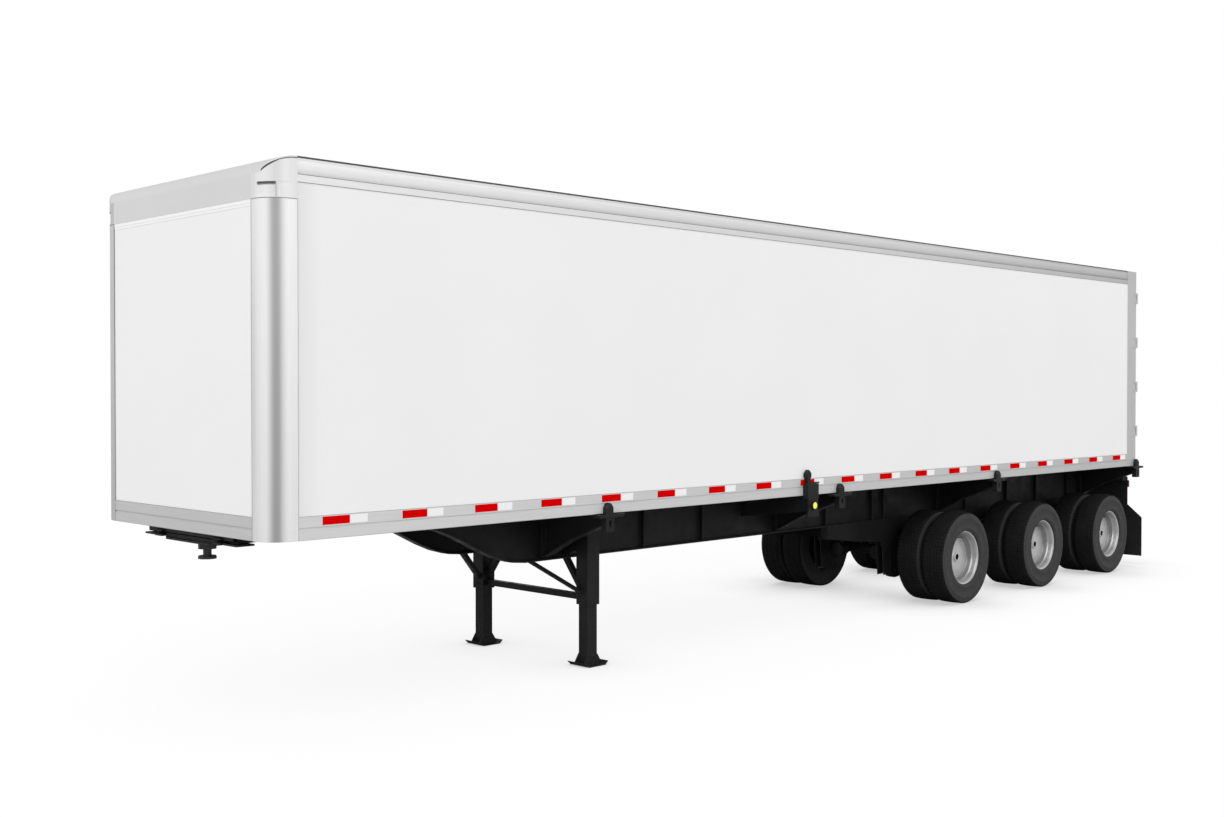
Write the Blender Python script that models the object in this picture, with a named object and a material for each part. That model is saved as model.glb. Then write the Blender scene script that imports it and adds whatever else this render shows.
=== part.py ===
"""Dry box on a three-axle container chassis, parked on its wheels and landing legs.

Metres, +Z up. The nose points to -X, the rear doors to +X and the road side to -Y.
Lengthwise places are distances behind the nose, and x_at() turns them into X.
"""
import math

import bmesh
import bpy
from mathutils import Matrix, Vector

SEAT_GAP = 0.0003        # between pieces that touch
SWING_GAP = 0.006        # between a moving piece and its neighbours

# Whole vehicle
OVERALL_LENGTH = 14.10
BOX_LENGTH = 13.716
BOX_WIDTH = 2.591
BOX_BOTTOM = 1.428
BOX_TOP = 4.134

# Rails, posts and panels of the box
BOTTOM_RAIL_HEIGHT = 0.168
BOTTOM_RAIL_DEPTH = 0.060
RAIL_GROOVE_HEIGHT = 0.084       # groove above the rail's lower edge
RAIL_GROOVE_WIDTH = 0.014
RAIL_GROOVE_DEPTH = 0.007
TOP_RAIL_HEIGHT = 0.179
TOP_RAIL_DEPTH = 0.062
TOP_RAIL_BAND = 0.053            # flat lower band of the top rail
TOP_RAIL_CROWN = 0.150           # height of the rail's outer edge, below the roof's crown
WALL_THICKNESS = 0.038
PANEL_RECESS = 0.005             # outer skin behind the rails' faces
CORNER_RADIUS = 0.200
CORNER_REACH = 0.231
CORNER_THICKNESS = 0.045
CAP_BOTTOM = 3.833               # joint between corner post and corner cap
NOSE_CURVE_START = 4.010         # the nose panel is upright up to here
NOSE_CURVE_LENGTH = 0.230
NOSE_LID_THICKNESS = 0.012       # nose panel's skin where it runs on over the corner caps
CORNER_STEPS = 8
NOSE_STEPS = 6
CAP_SLOT_TURN = (168, 131)            # front slots' ends round the corner, in degrees
CAP_SLOT = (0.110, 0.022, 0.020)      # length, height, depth
CAP_SLOT_ABOVE_JOINT = 0.102
CAP_RECESS = (0.110, 0.052, 0.010)    # length, height, depth
CAP_RECESS_ABOVE_JOINT = 0.040
CAP_RECESS_MARGIN = 0.020             # from the cap's ends
ROOF_BELOW_RAILS = 0.006
REAR_POST_LENGTH = 0.193
REAR_POST_WIDTH = 0.110
REAR_HEADER_HEIGHT = 0.150
FLOOR_THICKNESS = 0.030
CROSSMEMBER_DEPTH = 0.100
CROSSMEMBER_WIDTH = 0.045
CROSSMEMBER_PITCH = 0.3048
ROOF_THICKNESS = 0.004
ROOF_BOW_DEPTH = 0.045
ROOF_BOW_WIDTH = 0.050
ROOF_BOW_PITCH = 0.6096

# Rear doors
DOOR_THICKNESS = 0.042
DOOR_BOTTOM = 1.606
DOOR_BELOW_ROOF = 0.060
PORTAL_LIP_WIDTH = 0.020         # frame's rim round the doors
PORTAL_LIP_BEYOND = 0.019        # rim behind the doors' outer faces
HINGE_COUNT = 4
HINGE_SIDES = 8
PIN_BEHIND = 0.052               # hinge axis behind the door's outer face
PIN_RADIUS = 0.0080
PIN_PLAY = 0.0009
KNUCKLE_RADIUS = 0.0165
KNUCKLE_LENGTH = 0.090
KNUCKLE_END_PLAY = 0.0012
LUG_HEIGHT = 0.028
LUG_LENGTH = 0.070
LUG_SEAT = 0.010                 # let into the post's side
LUG_PROUD = 0.004
LUG_RADIUS = 0.0155
STRAP_LENGTH = 0.150
STRAP_THICKNESS = 0.011
STRAP_BEND = 0.016               # strap's first straight, beside the door's edge
LOCK_ROD_RADIUS = 0.0125
LOCK_ROD_STANDOFF = 0.024        # rod's axis behind the door's outer face
LOCK_ROD_PLACES = (0.20, 0.74)   # from the door's free edge
LOCK_GEAR_DEPTH = 0.040
ROD_BEARING_HEIGHT = 0.060
ROD_BEARING_WIDTH = 0.090
HANDLE_LENGTH = 0.420
HANDLE_HEIGHT = 1.10             # above the door's lower edge

# Chassis frame
RAIL_TO_TYRE = 0.2486            # rail's web inside the inner tyre's side
RAIL_FLANGE_WIDTH = 0.110
RAIL_FLANGE_THICKNESS = 0.014
RAIL_WEB_THICKNESS = 0.012
RAIL_TOP = 1.402
RAIL_DEEP_BOTTOM = 0.951
NECK_BOTTOM = 1.350
NECK_CURVE_START = 1.820
NECK_CURVE_END = 3.050
NECK_CURVE_STEPS = 8
RAIL_START = 0.060
RAIL_END = 13.960
STIFFENER_THICKNESS = 0.012
STIFFENER_PLACES = (4.59, 5.45, 7.55, 8.46, 8.70, 10.55, 11.60, 12.40, 13.30)

# Coupler under the nose
PAN_HALF_WIDTH = 0.385
PAN_LENGTH = 0.400
PAN_THICKNESS = 0.016
PAN_CHAMFER = 0.060
COUPLER_BEAM_START = 0.080
COUPLER_BEAM_LENGTH = 0.150
COUPLER_BEAM_HALF_WIDTH = 0.705
COUPLER_WEB_LENGTH = 0.060       # upright part over the beam's lower flange
COUPLER_WEB_HALF_WIDTH = 0.640
COUPLER_FLANGE_THICKNESS = 0.014
KINGPIN_PLACE = 0.235
KINGPIN_BOTTOM = 1.195
KINGPIN_COLLAR_DEPTH = 0.062
KINGPIN_FLANGE_DEPTH = 0.024
KINGPIN_COLLAR_RADIUS = 0.069
KINGPIN_NECK_RADIUS = 0.032
KINGPIN_FLANGE_RADIUS = 0.070

# Bolsters that carry and lock the box: place behind the nose
BOLSTER_PLACES = {"front": 3.287, "middle": 6.678, "rear_middle": 9.885, "rear": 13.714}
BOLSTER_WIDTH = 0.100
BOLSTER_FLANGE = 0.016           # round the pockets on both faces
BOLSTER_WEB = 0.014
BOLSTER_WEB_BOTTOM = 1.060       # middle part between the rails
BOLSTER_KNEE = (0.874, 1.165)    # distance out, height
BOLSTER_TIP_BOTTOM = 1.325
LOCK_CLEARANCE = 0.003           # between the box's side and the locks
LOCK_HEAD_TOP = 1.522
LOCK_HEAD_SHOULDER = 0.042       # below its top
LOCK_HEAD_LENGTH = 0.096
LOCK_HEAD_DEPTH = 0.046
LOCK_HEAD_CHAMFER = 0.014
LOCK_HEAD_DOME = ((0.33, 0.65), (0.0, 0.25))     # share of the shoulder's height, of the width
LOCK_LEVER_LENGTH = 0.320
LOCK_LEVER_BEHIND = 0.018        # lever's middle behind the head's
LOCK_LEVER_THICKNESS = 0.026
LOCK_LEVER_TAPER = 0.022
LOCK_LEVER_BELOW_BOX = 0.008
LOCK_SHOE_LENGTH = 0.100
LOCK_SHOE_BOTTOM = 1.270
LOCK_SLOT = (0.028, 0.070)       # width, height
LOCK_SLOT_ABOVE_SHOE = 0.030

# Marker posts, half way along each side
MARKER_PLACE = 6.155
MARKER_DEPTH = 0.064
MARKER_BOX_LENGTH = 0.176
MARKER_BOX_TOP = 1.546
MARKER_BOX_BOTTOM = 1.395
MARKER_PLATE_LENGTH = 0.152
MARKER_PLATE_THICKNESS = 0.022
MARKER_PLATE_BOTTOM = 1.214
MARKER_FLARE = 0.024
MARKER_FLARE_HEIGHT = 0.060
MARKER_PIN_TOP = 1.688
MARKER_PIN_LENGTH = 0.072
MARKER_PIN_DEPTH = 0.044
MARKER_PIN_NECK = 0.046
MARKER_PIN_AHEAD = 0.045         # pin ahead of the post's middle
MARKER_LEVER_REACH = 0.145
MARKER_LEVER_THICKNESS = 0.014
MARKER_LAMP_RADIUS = 0.041
MARKER_LAMP_HEIGHT = 1.320
MARKER_LAMP_DEPTH = 0.018
MARKER_LAMP_BEHIND = 0.012       # lamp behind the post's middle
MARKER_ARM_DEPTH = 0.120
MARKER_ARM_WIDTH = 0.090
MARKER_ARM_BELOW_RAIL_TOP = 0.240

# Landing gear
LEG_PLACE = 3.602
LEG_OFFSET = 0.735
LEG_OUTER_WIDTH = 0.148
LEG_INNER_WIDTH = 0.116
LEG_OUTER_BOTTOM = 0.550
LEG_TOP = 1.340
FOOT_WIDTH = 0.254
FOOT_THICKNESS = 0.012
FOOT_LIP = 0.035
FOOT_GUSSET_TOP = 0.115
FOOT_GUSSET_THICKNESS = 0.010
FOOT_GUSSET_REACH = 0.056        # beyond the tube, at the foot
FOOT_GUSSET_CORNER = 0.018
LEG_BRACKET_DEPTH = 0.330
LEG_BRACE_HEIGHT = 0.612
LEG_BRACE_TUBE = 0.055
LEG_STRUT_WIDTH = 0.055
LEG_STRUT_OVER_BRACE = 0.003
LEG_STRUT_FORWARD = 0.465        # front strut's head, ahead of the leg
LEG_STRUT_HEAD_OUT = 0.035       # front strut's head, outside the rail's web

# Axles, springs and hangers
AXLE_PLACES = (9.18, 11.05, 12.92)
AXLE_TUBE_RADIUS = 0.064
AXLE_SIDES = 12
SPINDLE_RADIUS = 0.040
SPINDLE_PLAY = 0.0007
SPRING_WIDTH = 0.076
SPRING_THICKNESS = 0.060
SPRING_REACH = 0.420             # from the axle to each end of its spring
SPRING_TIP = 0.040               # spring beyond the middle of its seat in the hanger
SPRING_RISE = 0.135              # spring's ends above the axle
SPRING_SEAT_LENGTH = 0.170
SPRING_CLAMP_HEIGHT = 0.030
BRAKE_CHAMBER_RADIUS = 0.085
BRAKE_CHAMBER_LENGTH = 0.150
BRAKE_CHAMBER_FORWARD = 0.250
BRAKE_CHAMBER_OFFSET = 0.280
SUBFRAME_START = 7.590
SUBFRAME_END = 13.600
SUBFRAME_DEPTH = 0.140
SUBFRAME_NOSE_DEPTH = 0.146
SUBFRAME_FRONT_DEPTH = 0.261     # deep plate's depth at the front hanger
ROCKER_SHARE = 0.54              # rocking beam's depth at its pivot, of the room over the springs
ROCKER_TIP_SHARE = 0.26
SUBFRAME_WIDTH = 0.090
HANGER_LENGTH = 0.170
HANGER_TIP_LENGTH = 0.110
FRONT_HANGER_BOTTOM = 0.300
BRAKE_SHIELD_RADIUS = 0.190
BRAKE_SHIELD_THICKNESS = 0.008

# Wheels: two tyres on one hub at each end of each axle
WHEEL_SIDES = 16
TYRE_RADIUS = 0.533
TYRE_WIDTH = 0.280
TYRE_TREAD_WIDTH = 0.236
TWIN_SPACING = 0.343
TWIN_OUTSIDE = 0.026             # outer tyre's side outside the box's side
BEAD_RADIUS = 0.292
RIM_WIDTH = 0.214
RIM_FLANGE_RADIUS = 0.311
RIM_FLANGE_THICKNESS = 0.012
RIM_LIP = 0.012                  # bright lip's width
RIM_WALL = 0.010
WELL_RADIUS = 0.268              # inside of the barrel between the disc and the bead seat
WELL_START = 0.0225              # disc's edge, from the plane between the twins
WELL_END = 0.1415
SEAT_START = 0.2295
HUB_RADIUS = 0.053
HUB_FRONT = 0.0975
SPINDLE_BEHIND_HUB = 0.050
DRUM_RADIUS = 0.205
DRUM_BACK = 0.236
DRUM_FRONT = 0.050

# Rear end
FLAP_OUTER_INSET = 0.0255        # from the box's side
FLAP_INNER_GAP = 0.030           # flap's inner edge outside the rail's flange
FLAP_BOTTOM = 0.135
FLAP_SHOULDER = 0.680
FLAP_SHOULDER_HEIGHT = 0.178
FLAP_TOP = 1.250
FLAP_TOP_INSET = 0.2325
FLAP_THICKNESS = 0.012
FLAP_BEHIND_RAILS = 0.0375        # just ahead of the guard bar
FLAP_ARM_DEPTH = 0.054
FLAP_ARM_REACH = 0.080           # arm ahead of the rails' ends
GUARD_BAR_BOTTOM = 0.440
GUARD_BAR_HEIGHT = 0.110
GUARD_BAR_DEPTH = 0.090
GUARD_BAR_INSET = 0.0955         # bar's end from the box's side
GUARD_POST_WIDTH = 0.080
GUARD_POST_LENGTH = 0.160
GUARD_POST_AHEAD = 0.040         # post's top ahead of the rails' ends

HALF_WIDTH = BOX_WIDTH / 2
AXLE_HEIGHT = TYRE_RADIUS
SPRING_END_HEIGHT = AXLE_HEIGHT + SPRING_RISE
TWIN_MIDDLE = HALF_WIDTH + TWIN_OUTSIDE - TYRE_WIDTH / 2 - TWIN_SPACING / 2
RAIL_OFFSET = TWIN_MIDDLE - TWIN_SPACING / 2 - TYRE_WIDTH / 2 - RAIL_TO_TYRE
LEG_STRUT_FOOT = LEG_BRACE_HEIGHT + LEG_BRACE_TUBE / 2 + LEG_STRUT_OVER_BRACE
LOCK_SIDE = HALF_WIDTH + LOCK_CLEARANCE
SILL_TOP = BOX_BOTTOM + BOTTOM_RAIL_HEIGHT
TOP_RAIL_BOTTOM = BOX_TOP - TOP_RAIL_HEIGHT
POST_END = BOX_LENGTH - DOOR_THICKNESS - SWING_GAP
POST_START = POST_END - REAR_POST_LENGTH
PIN_OUTSIDE = LOCK_GEAR_DEPTH - PIN_BEHIND + SWING_GAP
PIN_PLACE = BOX_LENGTH + PIN_BEHIND
PIN_Y = HALF_WIDTH + PIN_OUTSIDE
DOOR_TOP = BOX_TOP - DOOR_BELOW_ROOF
DOOR_EDGE = HALF_WIDTH - PORTAL_LIP_WIDTH - SWING_GAP
PORTAL_END = BOX_LENGTH + PORTAL_LIP_BEYOND
WHEEL_STEP = math.tau / WHEEL_SIDES
FLAT_DOWN = math.cos(WHEEL_STEP / 2)     # a flat side's distance from the axis, per radius


def x_at(place):
    """Turn a distance behind the nose into X."""
    return place - OVERALL_LENGTH / 2


def clear_scene():
    for item in list(bpy.data.objects):
        bpy.data.objects.remove(item, do_unlink=True)


def paint(name, colour, roughness, metallic=0.0):
    material = bpy.data.materials.new(name)
    material.use_nodes = True
    shader = material.node_tree.nodes["Principled BSDF"]
    shader.inputs["Base Color"].default_value = (*colour, 1.0)
    shader.inputs["Roughness"].default_value = roughness
    shader.inputs["Metallic"].default_value = metallic
    return material


def make_materials():
    return {
        "panel": paint("white_panel", (0.82, 0.83, 0.84), 0.35),
        "silver": paint("silver_aluminium", (0.62, 0.63, 0.64), 0.35, 0.6),
        "grey": paint("grey_nose", (0.60, 0.61, 0.62), 0.40),
        "black": paint("black_frame", (0.017, 0.017, 0.018), 0.45),
        "leg": paint("black_leg", (0.030, 0.030, 0.032), 0.50),
        "steel": paint("pin_steel", (0.25, 0.25, 0.26), 0.35, 0.9),
        "floor": paint("floor_wood", (0.32, 0.20, 0.11), 0.60),
        "tyre": paint("tyre_rubber", (0.030, 0.030, 0.030), 0.80),
        "rim": paint("rim_silver", (0.55, 0.56, 0.58), 0.35, 0.7),
        "flap": paint("flap_rubber", (0.015, 0.015, 0.015), 0.75),
    }


def finish(name, bm, material, smooth=False):
    """Make one object of a closed mesh, with its faces pointing out."""
    bmesh.ops.recalc_face_normals(bm, faces=bm.faces)
    mesh = bpy.data.meshes.new(name)
    bm.to_mesh(mesh)
    bm.free()
    if smooth:
        mesh.shade_smooth()
        mesh.set_sharp_from_angle(angle=math.radians(35))
    mesh.materials.append(material)
    item = bpy.data.objects.new(name, mesh)
    bpy.context.scene.collection.objects.link(item)
    return item


def set_origin(item, point):
    """Move an object's origin to a point, with its shape where it was."""
    item.data.transform(Matrix.Translation(item.location - Vector(point)))
    item.location = point


def prism(name, outline, axis, low, high, material, smooth=False):
    """Extrude a closed outline along an axis; its points are in the other two axes, in order."""
    bm = bmesh.new()
    index = "xyz".index(axis)
    verts = []
    for first, second in outline:
        point = [first, second]
        point.insert(index, low)
        verts.append(bm.verts.new(point))
    face = bm.faces.new(verts)
    extruded = bmesh.ops.extrude_face_region(bm, geom=[face])
    moved = [part for part in extruded["geom"] if isinstance(part, bmesh.types.BMVert)]
    shift = Vector([0.0, 0.0, 0.0])
    shift[index] = high - low
    bmesh.ops.translate(bm, vec=shift, verts=moved)
    return finish(name, bm, material, smooth)


def block(name, x_range, y_range, z_range, material):
    outline = [(x_range[0], y_range[0]), (x_range[1], y_range[0]),
               (x_range[1], y_range[1]), (x_range[0], y_range[1])]
    return prism(name, outline, "z", z_range[0], z_range[1], material)


def loft(name, sections, material, smooth=False):
    """Join equal loops of points, and close both ends."""
    bm = bmesh.new()
    loops = [[bm.verts.new(point) for point in section] for section in sections]
    for near, far in zip(loops, loops[1:]):
        for index in range(len(near)):
            following = (index + 1) % len(near)
            bm.faces.new((near[index], near[following], far[following], far[index]))
    bm.faces.new(loops[0])
    bm.faces.new(loops[-1])
    return finish(name, bm, material, smooth)


def turned(name, profile, centre, axis, sides, material, closed=True):
    """Revolve a profile of (along, radius) points round an axis through the centre.

    A closed profile makes a ring; an open one starts and ends on the axis. The object's
    origin is the centre.
    """
    bm = bmesh.new()
    index = "xyz".index(axis)
    step = math.tau / sides

    def place(along, radius, number):
        angle = (number + 0.5) * step
        point = [radius * math.cos(angle), radius * math.sin(angle)]
        point.insert(index, along)
        return point

    rings = []
    for along, radius in profile:
        if radius == 0.0:
            rings.append([bm.verts.new(place(along, 0.0, 0))])
        else:
            rings.append([bm.verts.new(place(along, radius, number)) for number in range(sides)])
    pairs = list(zip(rings, rings[1:]))
    if closed:
        pairs.append((rings[-1], rings[0]))
    for near, far in pairs:
        for number in range(sides):
            following = (number + 1) % sides
            corners = [near[number % len(near)], near[following % len(near)],
                       far[following % len(far)], far[number % len(far)]]
            unique = list(dict.fromkeys(corners))
            bm.faces.new(unique)
    item = finish(name, bm, material, smooth=True)
    item.location = centre
    return item


def rod(name, start, end, radius, sides, material):
    """A round bar between two points."""
    bm = bmesh.new()
    start = Vector(start)
    along = Vector(end) - start
    turn = along.to_track_quat("Z", "Y")
    rings = []
    for height in (0.0, along.length):
        ring = []
        for number in range(sides):
            angle = (number + 0.5) * math.tau / sides
            point = Vector((radius * math.cos(angle), radius * math.sin(angle), height))
            ring.append(bm.verts.new(start + turn @ point))
        rings.append(ring)
    for number in range(sides):
        following = (number + 1) % sides
        bm.faces.new((rings[0][number], rings[0][following],
                      rings[1][following], rings[1][number]))
    bm.faces.new(rings[0])
    bm.faces.new(rings[1])
    return finish(name, bm, material, smooth=True)


def combine(body, tools, operation):
    """Join tools to a body or cut them from it, and remove the tools."""
    for tool in tools:
        modifier = body.modifiers.new(tool.name, "BOOLEAN")
        modifier.operation = operation
        modifier.solver = "EXACT"
        modifier.object = tool
    graph = bpy.context.evaluated_depsgraph_get()
    mesh = bpy.data.meshes.new_from_object(body.evaluated_get(graph))
    body.modifiers.clear()
    body.data = mesh
    for tool in tools:
        bpy.data.objects.remove(tool, do_unlink=True)
    return body


def join(body, *tools):
    return combine(body, tools, "UNION")


def cut(body, *tools):
    return combine(body, tools, "DIFFERENCE")


def keep_inside(body, *tools):
    return combine(body, tools, "INTERSECT")


def mirrored(side, outline):
    """An outline of (y, z) points on the right side, or its mirror image on the left."""
    return [(side * y, z) for y, z in outline]


def arc(centre, radius, start, end, steps):
    """Points on an arc, with its angles in degrees."""
    points = []
    for number in range(steps + 1):
        angle = math.radians(start + (end - start) * number / steps)
        points.append((centre[0] + radius * math.cos(angle), centre[1] + radius * math.sin(angle)))
    return points


SIDES = (("left", -1), ("right", 1))


def ribbed_plate(start, end, face, plate_to, rib_to, pitch, rib_width, margin):
    """Outline in x and z of a plate with evenly spaced ribs along one face."""
    outline = [(x_at(start), plate_to), (x_at(start), face)]
    count = int((end - start - 2 * margin) / pitch) + 1
    first = (start + end - (count - 1) * pitch) / 2
    for number in range(count):
        middle = first + number * pitch
        outline.append((x_at(middle - rib_width / 2), face))
        outline.append((x_at(middle - rib_width / 2), rib_to))
        outline.append((x_at(middle + rib_width / 2), rib_to))
        outline.append((x_at(middle + rib_width / 2), face))
    outline.append((x_at(end), face))
    outline.append((x_at(end), plate_to))
    return outline


def make_walls(paints):
    low = SILL_TOP + SEAT_GAP
    high = TOP_RAIL_BOTTOM - SEAT_GAP
    outer = HALF_WIDTH - PANEL_RECESS
    inner = outer - WALL_THICKNESS
    start = CORNER_REACH + SEAT_GAP
    end = POST_START - SEAT_GAP
    for side_name, side in SIDES:
        y_range = sorted((side * inner, side * outer))
        block("side_wall_" + side_name, (x_at(start), x_at(end)), y_range, (low, high),
              paints["panel"])
    reach = HALF_WIDTH - CORNER_REACH - SEAT_GAP
    block("front_wall", (x_at(PANEL_RECESS), x_at(PANEL_RECESS + WALL_THICKNESS)),
          (-reach, reach), (low, CAP_BOTTOM - SEAT_GAP), paints["panel"])


def make_floor(paints):
    top = SILL_TOP
    underside = top - FLOOR_THICKNESS
    outline = ribbed_plate(CORNER_REACH + SEAT_GAP, POST_START - SEAT_GAP, underside, top,
                           underside - CROSSMEMBER_DEPTH, CROSSMEMBER_PITCH,
                           CROSSMEMBER_WIDTH, CROSSMEMBER_PITCH / 2)
    reach = HALF_WIDTH - BOTTOM_RAIL_DEPTH - SEAT_GAP
    prism("floor_deck", outline, "y", -reach, reach, paints["floor"])


def make_roof(paints):
    top = BOX_TOP - ROOF_BELOW_RAILS
    underside = top - ROOF_THICKNESS
    outline = ribbed_plate(NOSE_CURVE_LENGTH + SEAT_GAP, POST_START - SEAT_GAP, underside, top,
                           underside - ROOF_BOW_DEPTH, ROOF_BOW_PITCH,
                           ROOF_BOW_WIDTH, ROOF_BOW_PITCH / 2)
    reach = HALF_WIDTH - TOP_RAIL_DEPTH - SEAT_GAP
    prism("roof", outline, "y", -reach, reach, paints["panel"])


def make_side_rails(paints):
    """Extruded rails along the box, with a groove below and a rounded crown above."""
    start = x_at(CORNER_REACH + SEAT_GAP)
    end = x_at(POST_START - SEAT_GAP)
    groove = BOX_BOTTOM + RAIL_GROOVE_HEIGHT
    half_groove = RAIL_GROOVE_WIDTH / 2
    inner = HALF_WIDTH - BOTTOM_RAIL_DEPTH
    bottom = [
        (inner, BOX_BOTTOM), (HALF_WIDTH - 0.004, BOX_BOTTOM), (HALF_WIDTH, BOX_BOTTOM + 0.004),
        (HALF_WIDTH, groove - half_groove), (HALF_WIDTH - RAIL_GROOVE_DEPTH, groove - half_groove),
        (HALF_WIDTH - RAIL_GROOVE_DEPTH, groove + half_groove), (HALF_WIDTH, groove + half_groove),
        (HALF_WIDTH, SILL_TOP), (inner, SILL_TOP)]
    band_top = TOP_RAIL_BOTTOM + TOP_RAIL_BAND
    crown = TOP_RAIL_BOTTOM + TOP_RAIL_CROWN
    bulge = (crown - band_top) / 2
    outer_arc = arc((HALF_WIDTH - 0.016, band_top + bulge), bulge, -70, 70, 6)
    flatten = 0.012 / bulge
    middle_y = HALF_WIDTH - 0.016
    convex = [(middle_y + (y - middle_y) * flatten, z) for y, z in outer_arc]
    top = [(HALF_WIDTH - TOP_RAIL_DEPTH, TOP_RAIL_BOTTOM), (HALF_WIDTH, TOP_RAIL_BOTTOM),
           (HALF_WIDTH, band_top)] + convex + [
               (HALF_WIDTH - 0.010, BOX_TOP), (HALF_WIDTH - TOP_RAIL_DEPTH, BOX_TOP)]
    for side_name, side in SIDES:
        prism("bottom_rail_" + side_name, mirrored(side, bottom), "x", start, end,
              paints["silver"])
        prism("top_rail_" + side_name, mirrored(side, top), "x", start, end,
              paints["silver"], smooth=True)


def corner_arc(radius, start, end):
    """Plan of a front corner's curve on the right side, as (place, y) points."""
    centre = (CORNER_RADIUS, HALF_WIDTH - CORNER_RADIUS)
    return arc(centre, radius, start, end, CORNER_STEPS)


def corner_outline(side):
    """Plan of a rounded front corner, as a bent wall with a square end at each side."""
    outline = [(0.0, HALF_WIDTH - CORNER_REACH)]
    outline += corner_arc(CORNER_RADIUS, 180, 90)
    outline += [(CORNER_REACH, HALF_WIDTH), (CORNER_REACH, HALF_WIDTH - CORNER_THICKNESS)]
    outline += corner_arc(CORNER_RADIUS - CORNER_THICKNESS, 90, 180)
    outline.append((CORNER_THICKNESS, HALF_WIDTH - CORNER_REACH))
    return [(x_at(place), side * y) for place, y in outline]


def nose_curve(inset):
    """Quarter of an ellipse from the upright face to the roof, as (place, z) points."""
    points = []
    for number in range(NOSE_STEPS + 1):
        angle = math.radians(90 * number / NOSE_STEPS)
        points.append((NOSE_CURVE_LENGTH - (NOSE_CURVE_LENGTH - inset) * math.cos(angle),
                       NOSE_CURVE_START + (BOX_TOP - NOSE_CURVE_START - inset) * math.sin(angle)))
    return points


def nose_region(inset, far_z, lowered=0.0):
    """Outline in x and z of all that lies over or under the nose's curve, up to a height."""
    curve = nose_curve(inset)
    before = -CORNER_THICKNESS
    behind = CORNER_REACH + CORNER_THICKNESS
    outline = [(before, NOSE_CURVE_START - lowered), (inset, NOSE_CURVE_START - lowered)]
    outline += curve[1:] + [(behind, curve[-1][1]), (behind, far_z), (before, far_z)]
    return [(x_at(place), z) for place, z in outline]


def make_front_corners(paints):
    """Rounded posts, and the cast caps above them with their lifting slots."""
    for side_name, side in SIDES:
        outline = corner_outline(side)
        prism("corner_post_" + side_name, outline, "z", BOX_BOTTOM, CAP_BOTTOM - SEAT_GAP,
              paints["silver"], smooth=True)
        cap = prism("corner_cap_" + side_name, outline, "z", CAP_BOTTOM, BOX_TOP,
                    paints["silver"], smooth=True)
        over = nose_region(NOSE_LID_THICKNESS + SEAT_GAP, BOX_TOP + CORNER_THICKNESS, SEAT_GAP)
        across = sorted((side * (HALF_WIDTH - 2 * CORNER_REACH), side * (HALF_WIDTH + CORNER_REACH)))
        cutters = [prism("over_cap", over, "y", *across, paints["silver"])]
        shapes = (("slot", CAP_SLOT, CAP_SLOT_ABOVE_JOINT),
                  ("recess", CAP_RECESS, CAP_RECESS_ABOVE_JOINT))
        for shape_name, (length, height, depth), above in shapes:
            z_range = (CAP_BOTTOM + above - height / 2, CAP_BOTTOM + above + height / 2)
            reach = sorted((side * (HALF_WIDTH - depth), side * (HALF_WIDTH + depth)))
            end = CORNER_REACH - CAP_RECESS_MARGIN
            cutters.append(block(shape_name + "_side", (x_at(end - length), x_at(end)), reach,
                                 z_range, paints["silver"]))
            plan = corner_arc(CORNER_RADIUS + depth, *CAP_SLOT_TURN)
            plan += corner_arc(CORNER_RADIUS - depth, *CAP_SLOT_TURN[::-1])
            cutters.append(prism(shape_name + "_front", [(x_at(place), side * y)
                                                         for place, y in plan], "z",
                                 *z_range, paints["silver"]))
        cut(cap, *cutters)


def make_nose(paints):
    """Curved panel over the front wall, whose skin runs on as a lid over the corner caps."""
    outline = [(0.0, CAP_BOTTOM)] + nose_curve(0.0) + nose_curve(WALL_THICKNESS)[::-1]
    outline.append((WALL_THICKNESS, CAP_BOTTOM))
    panel = prism("nose_panel", [(x_at(place), z) for place, z in outline], "y", -HALF_WIDTH,
                  HALF_WIDTH, paints["grey"], smooth=True)
    half_plan = corner_arc(CORNER_RADIUS, 180, 90)
    half_plan.append((CORNER_REACH, HALF_WIDTH))
    plan = half_plan + [(place, -y) for place, y in half_plan[::-1]]
    keep_inside(panel, prism("plan", [(x_at(place), y) for place, y in plan], "z",
                             CAP_BOTTOM - CORNER_THICKNESS, BOX_TOP + CORNER_THICKNESS,
                             paints["grey"]))
    under = nose_region(NOSE_LID_THICKNESS, CAP_BOTTOM - CORNER_THICKNESS)
    near = HALF_WIDTH - CORNER_REACH - SEAT_GAP
    far = HALF_WIDTH + CORNER_THICKNESS
    cut(panel, *[prism("under_lid", under, "y", *sorted((side * near, side * far)),
                       paints["grey"]) for side_name, side in SIDES])


def make_front_sill(paints):
    groove = BOX_BOTTOM + RAIL_GROOVE_HEIGHT
    half_groove = RAIL_GROOVE_WIDTH / 2
    outline = [(0.004, BOX_BOTTOM), (BOTTOM_RAIL_DEPTH, BOX_BOTTOM),
               (BOTTOM_RAIL_DEPTH, SILL_TOP), (0.0, SILL_TOP),
               (0.0, groove + half_groove), (RAIL_GROOVE_DEPTH, groove + half_groove),
               (RAIL_GROOVE_DEPTH, groove - half_groove), (0.0, groove - half_groove),
               (0.0, BOX_BOTTOM + 0.004)]
    reach = HALF_WIDTH - CORNER_REACH - SEAT_GAP
    prism("front_sill", [(x_at(place), z) for place, z in outline], "y", -reach, reach,
          paints["grey"])


def hinge_heights():
    spacing = (DOOR_TOP - DOOR_BOTTOM) / HINGE_COUNT
    return [DOOR_BOTTOM + spacing * (number + 0.5) for number in range(HINGE_COUNT)]


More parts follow.
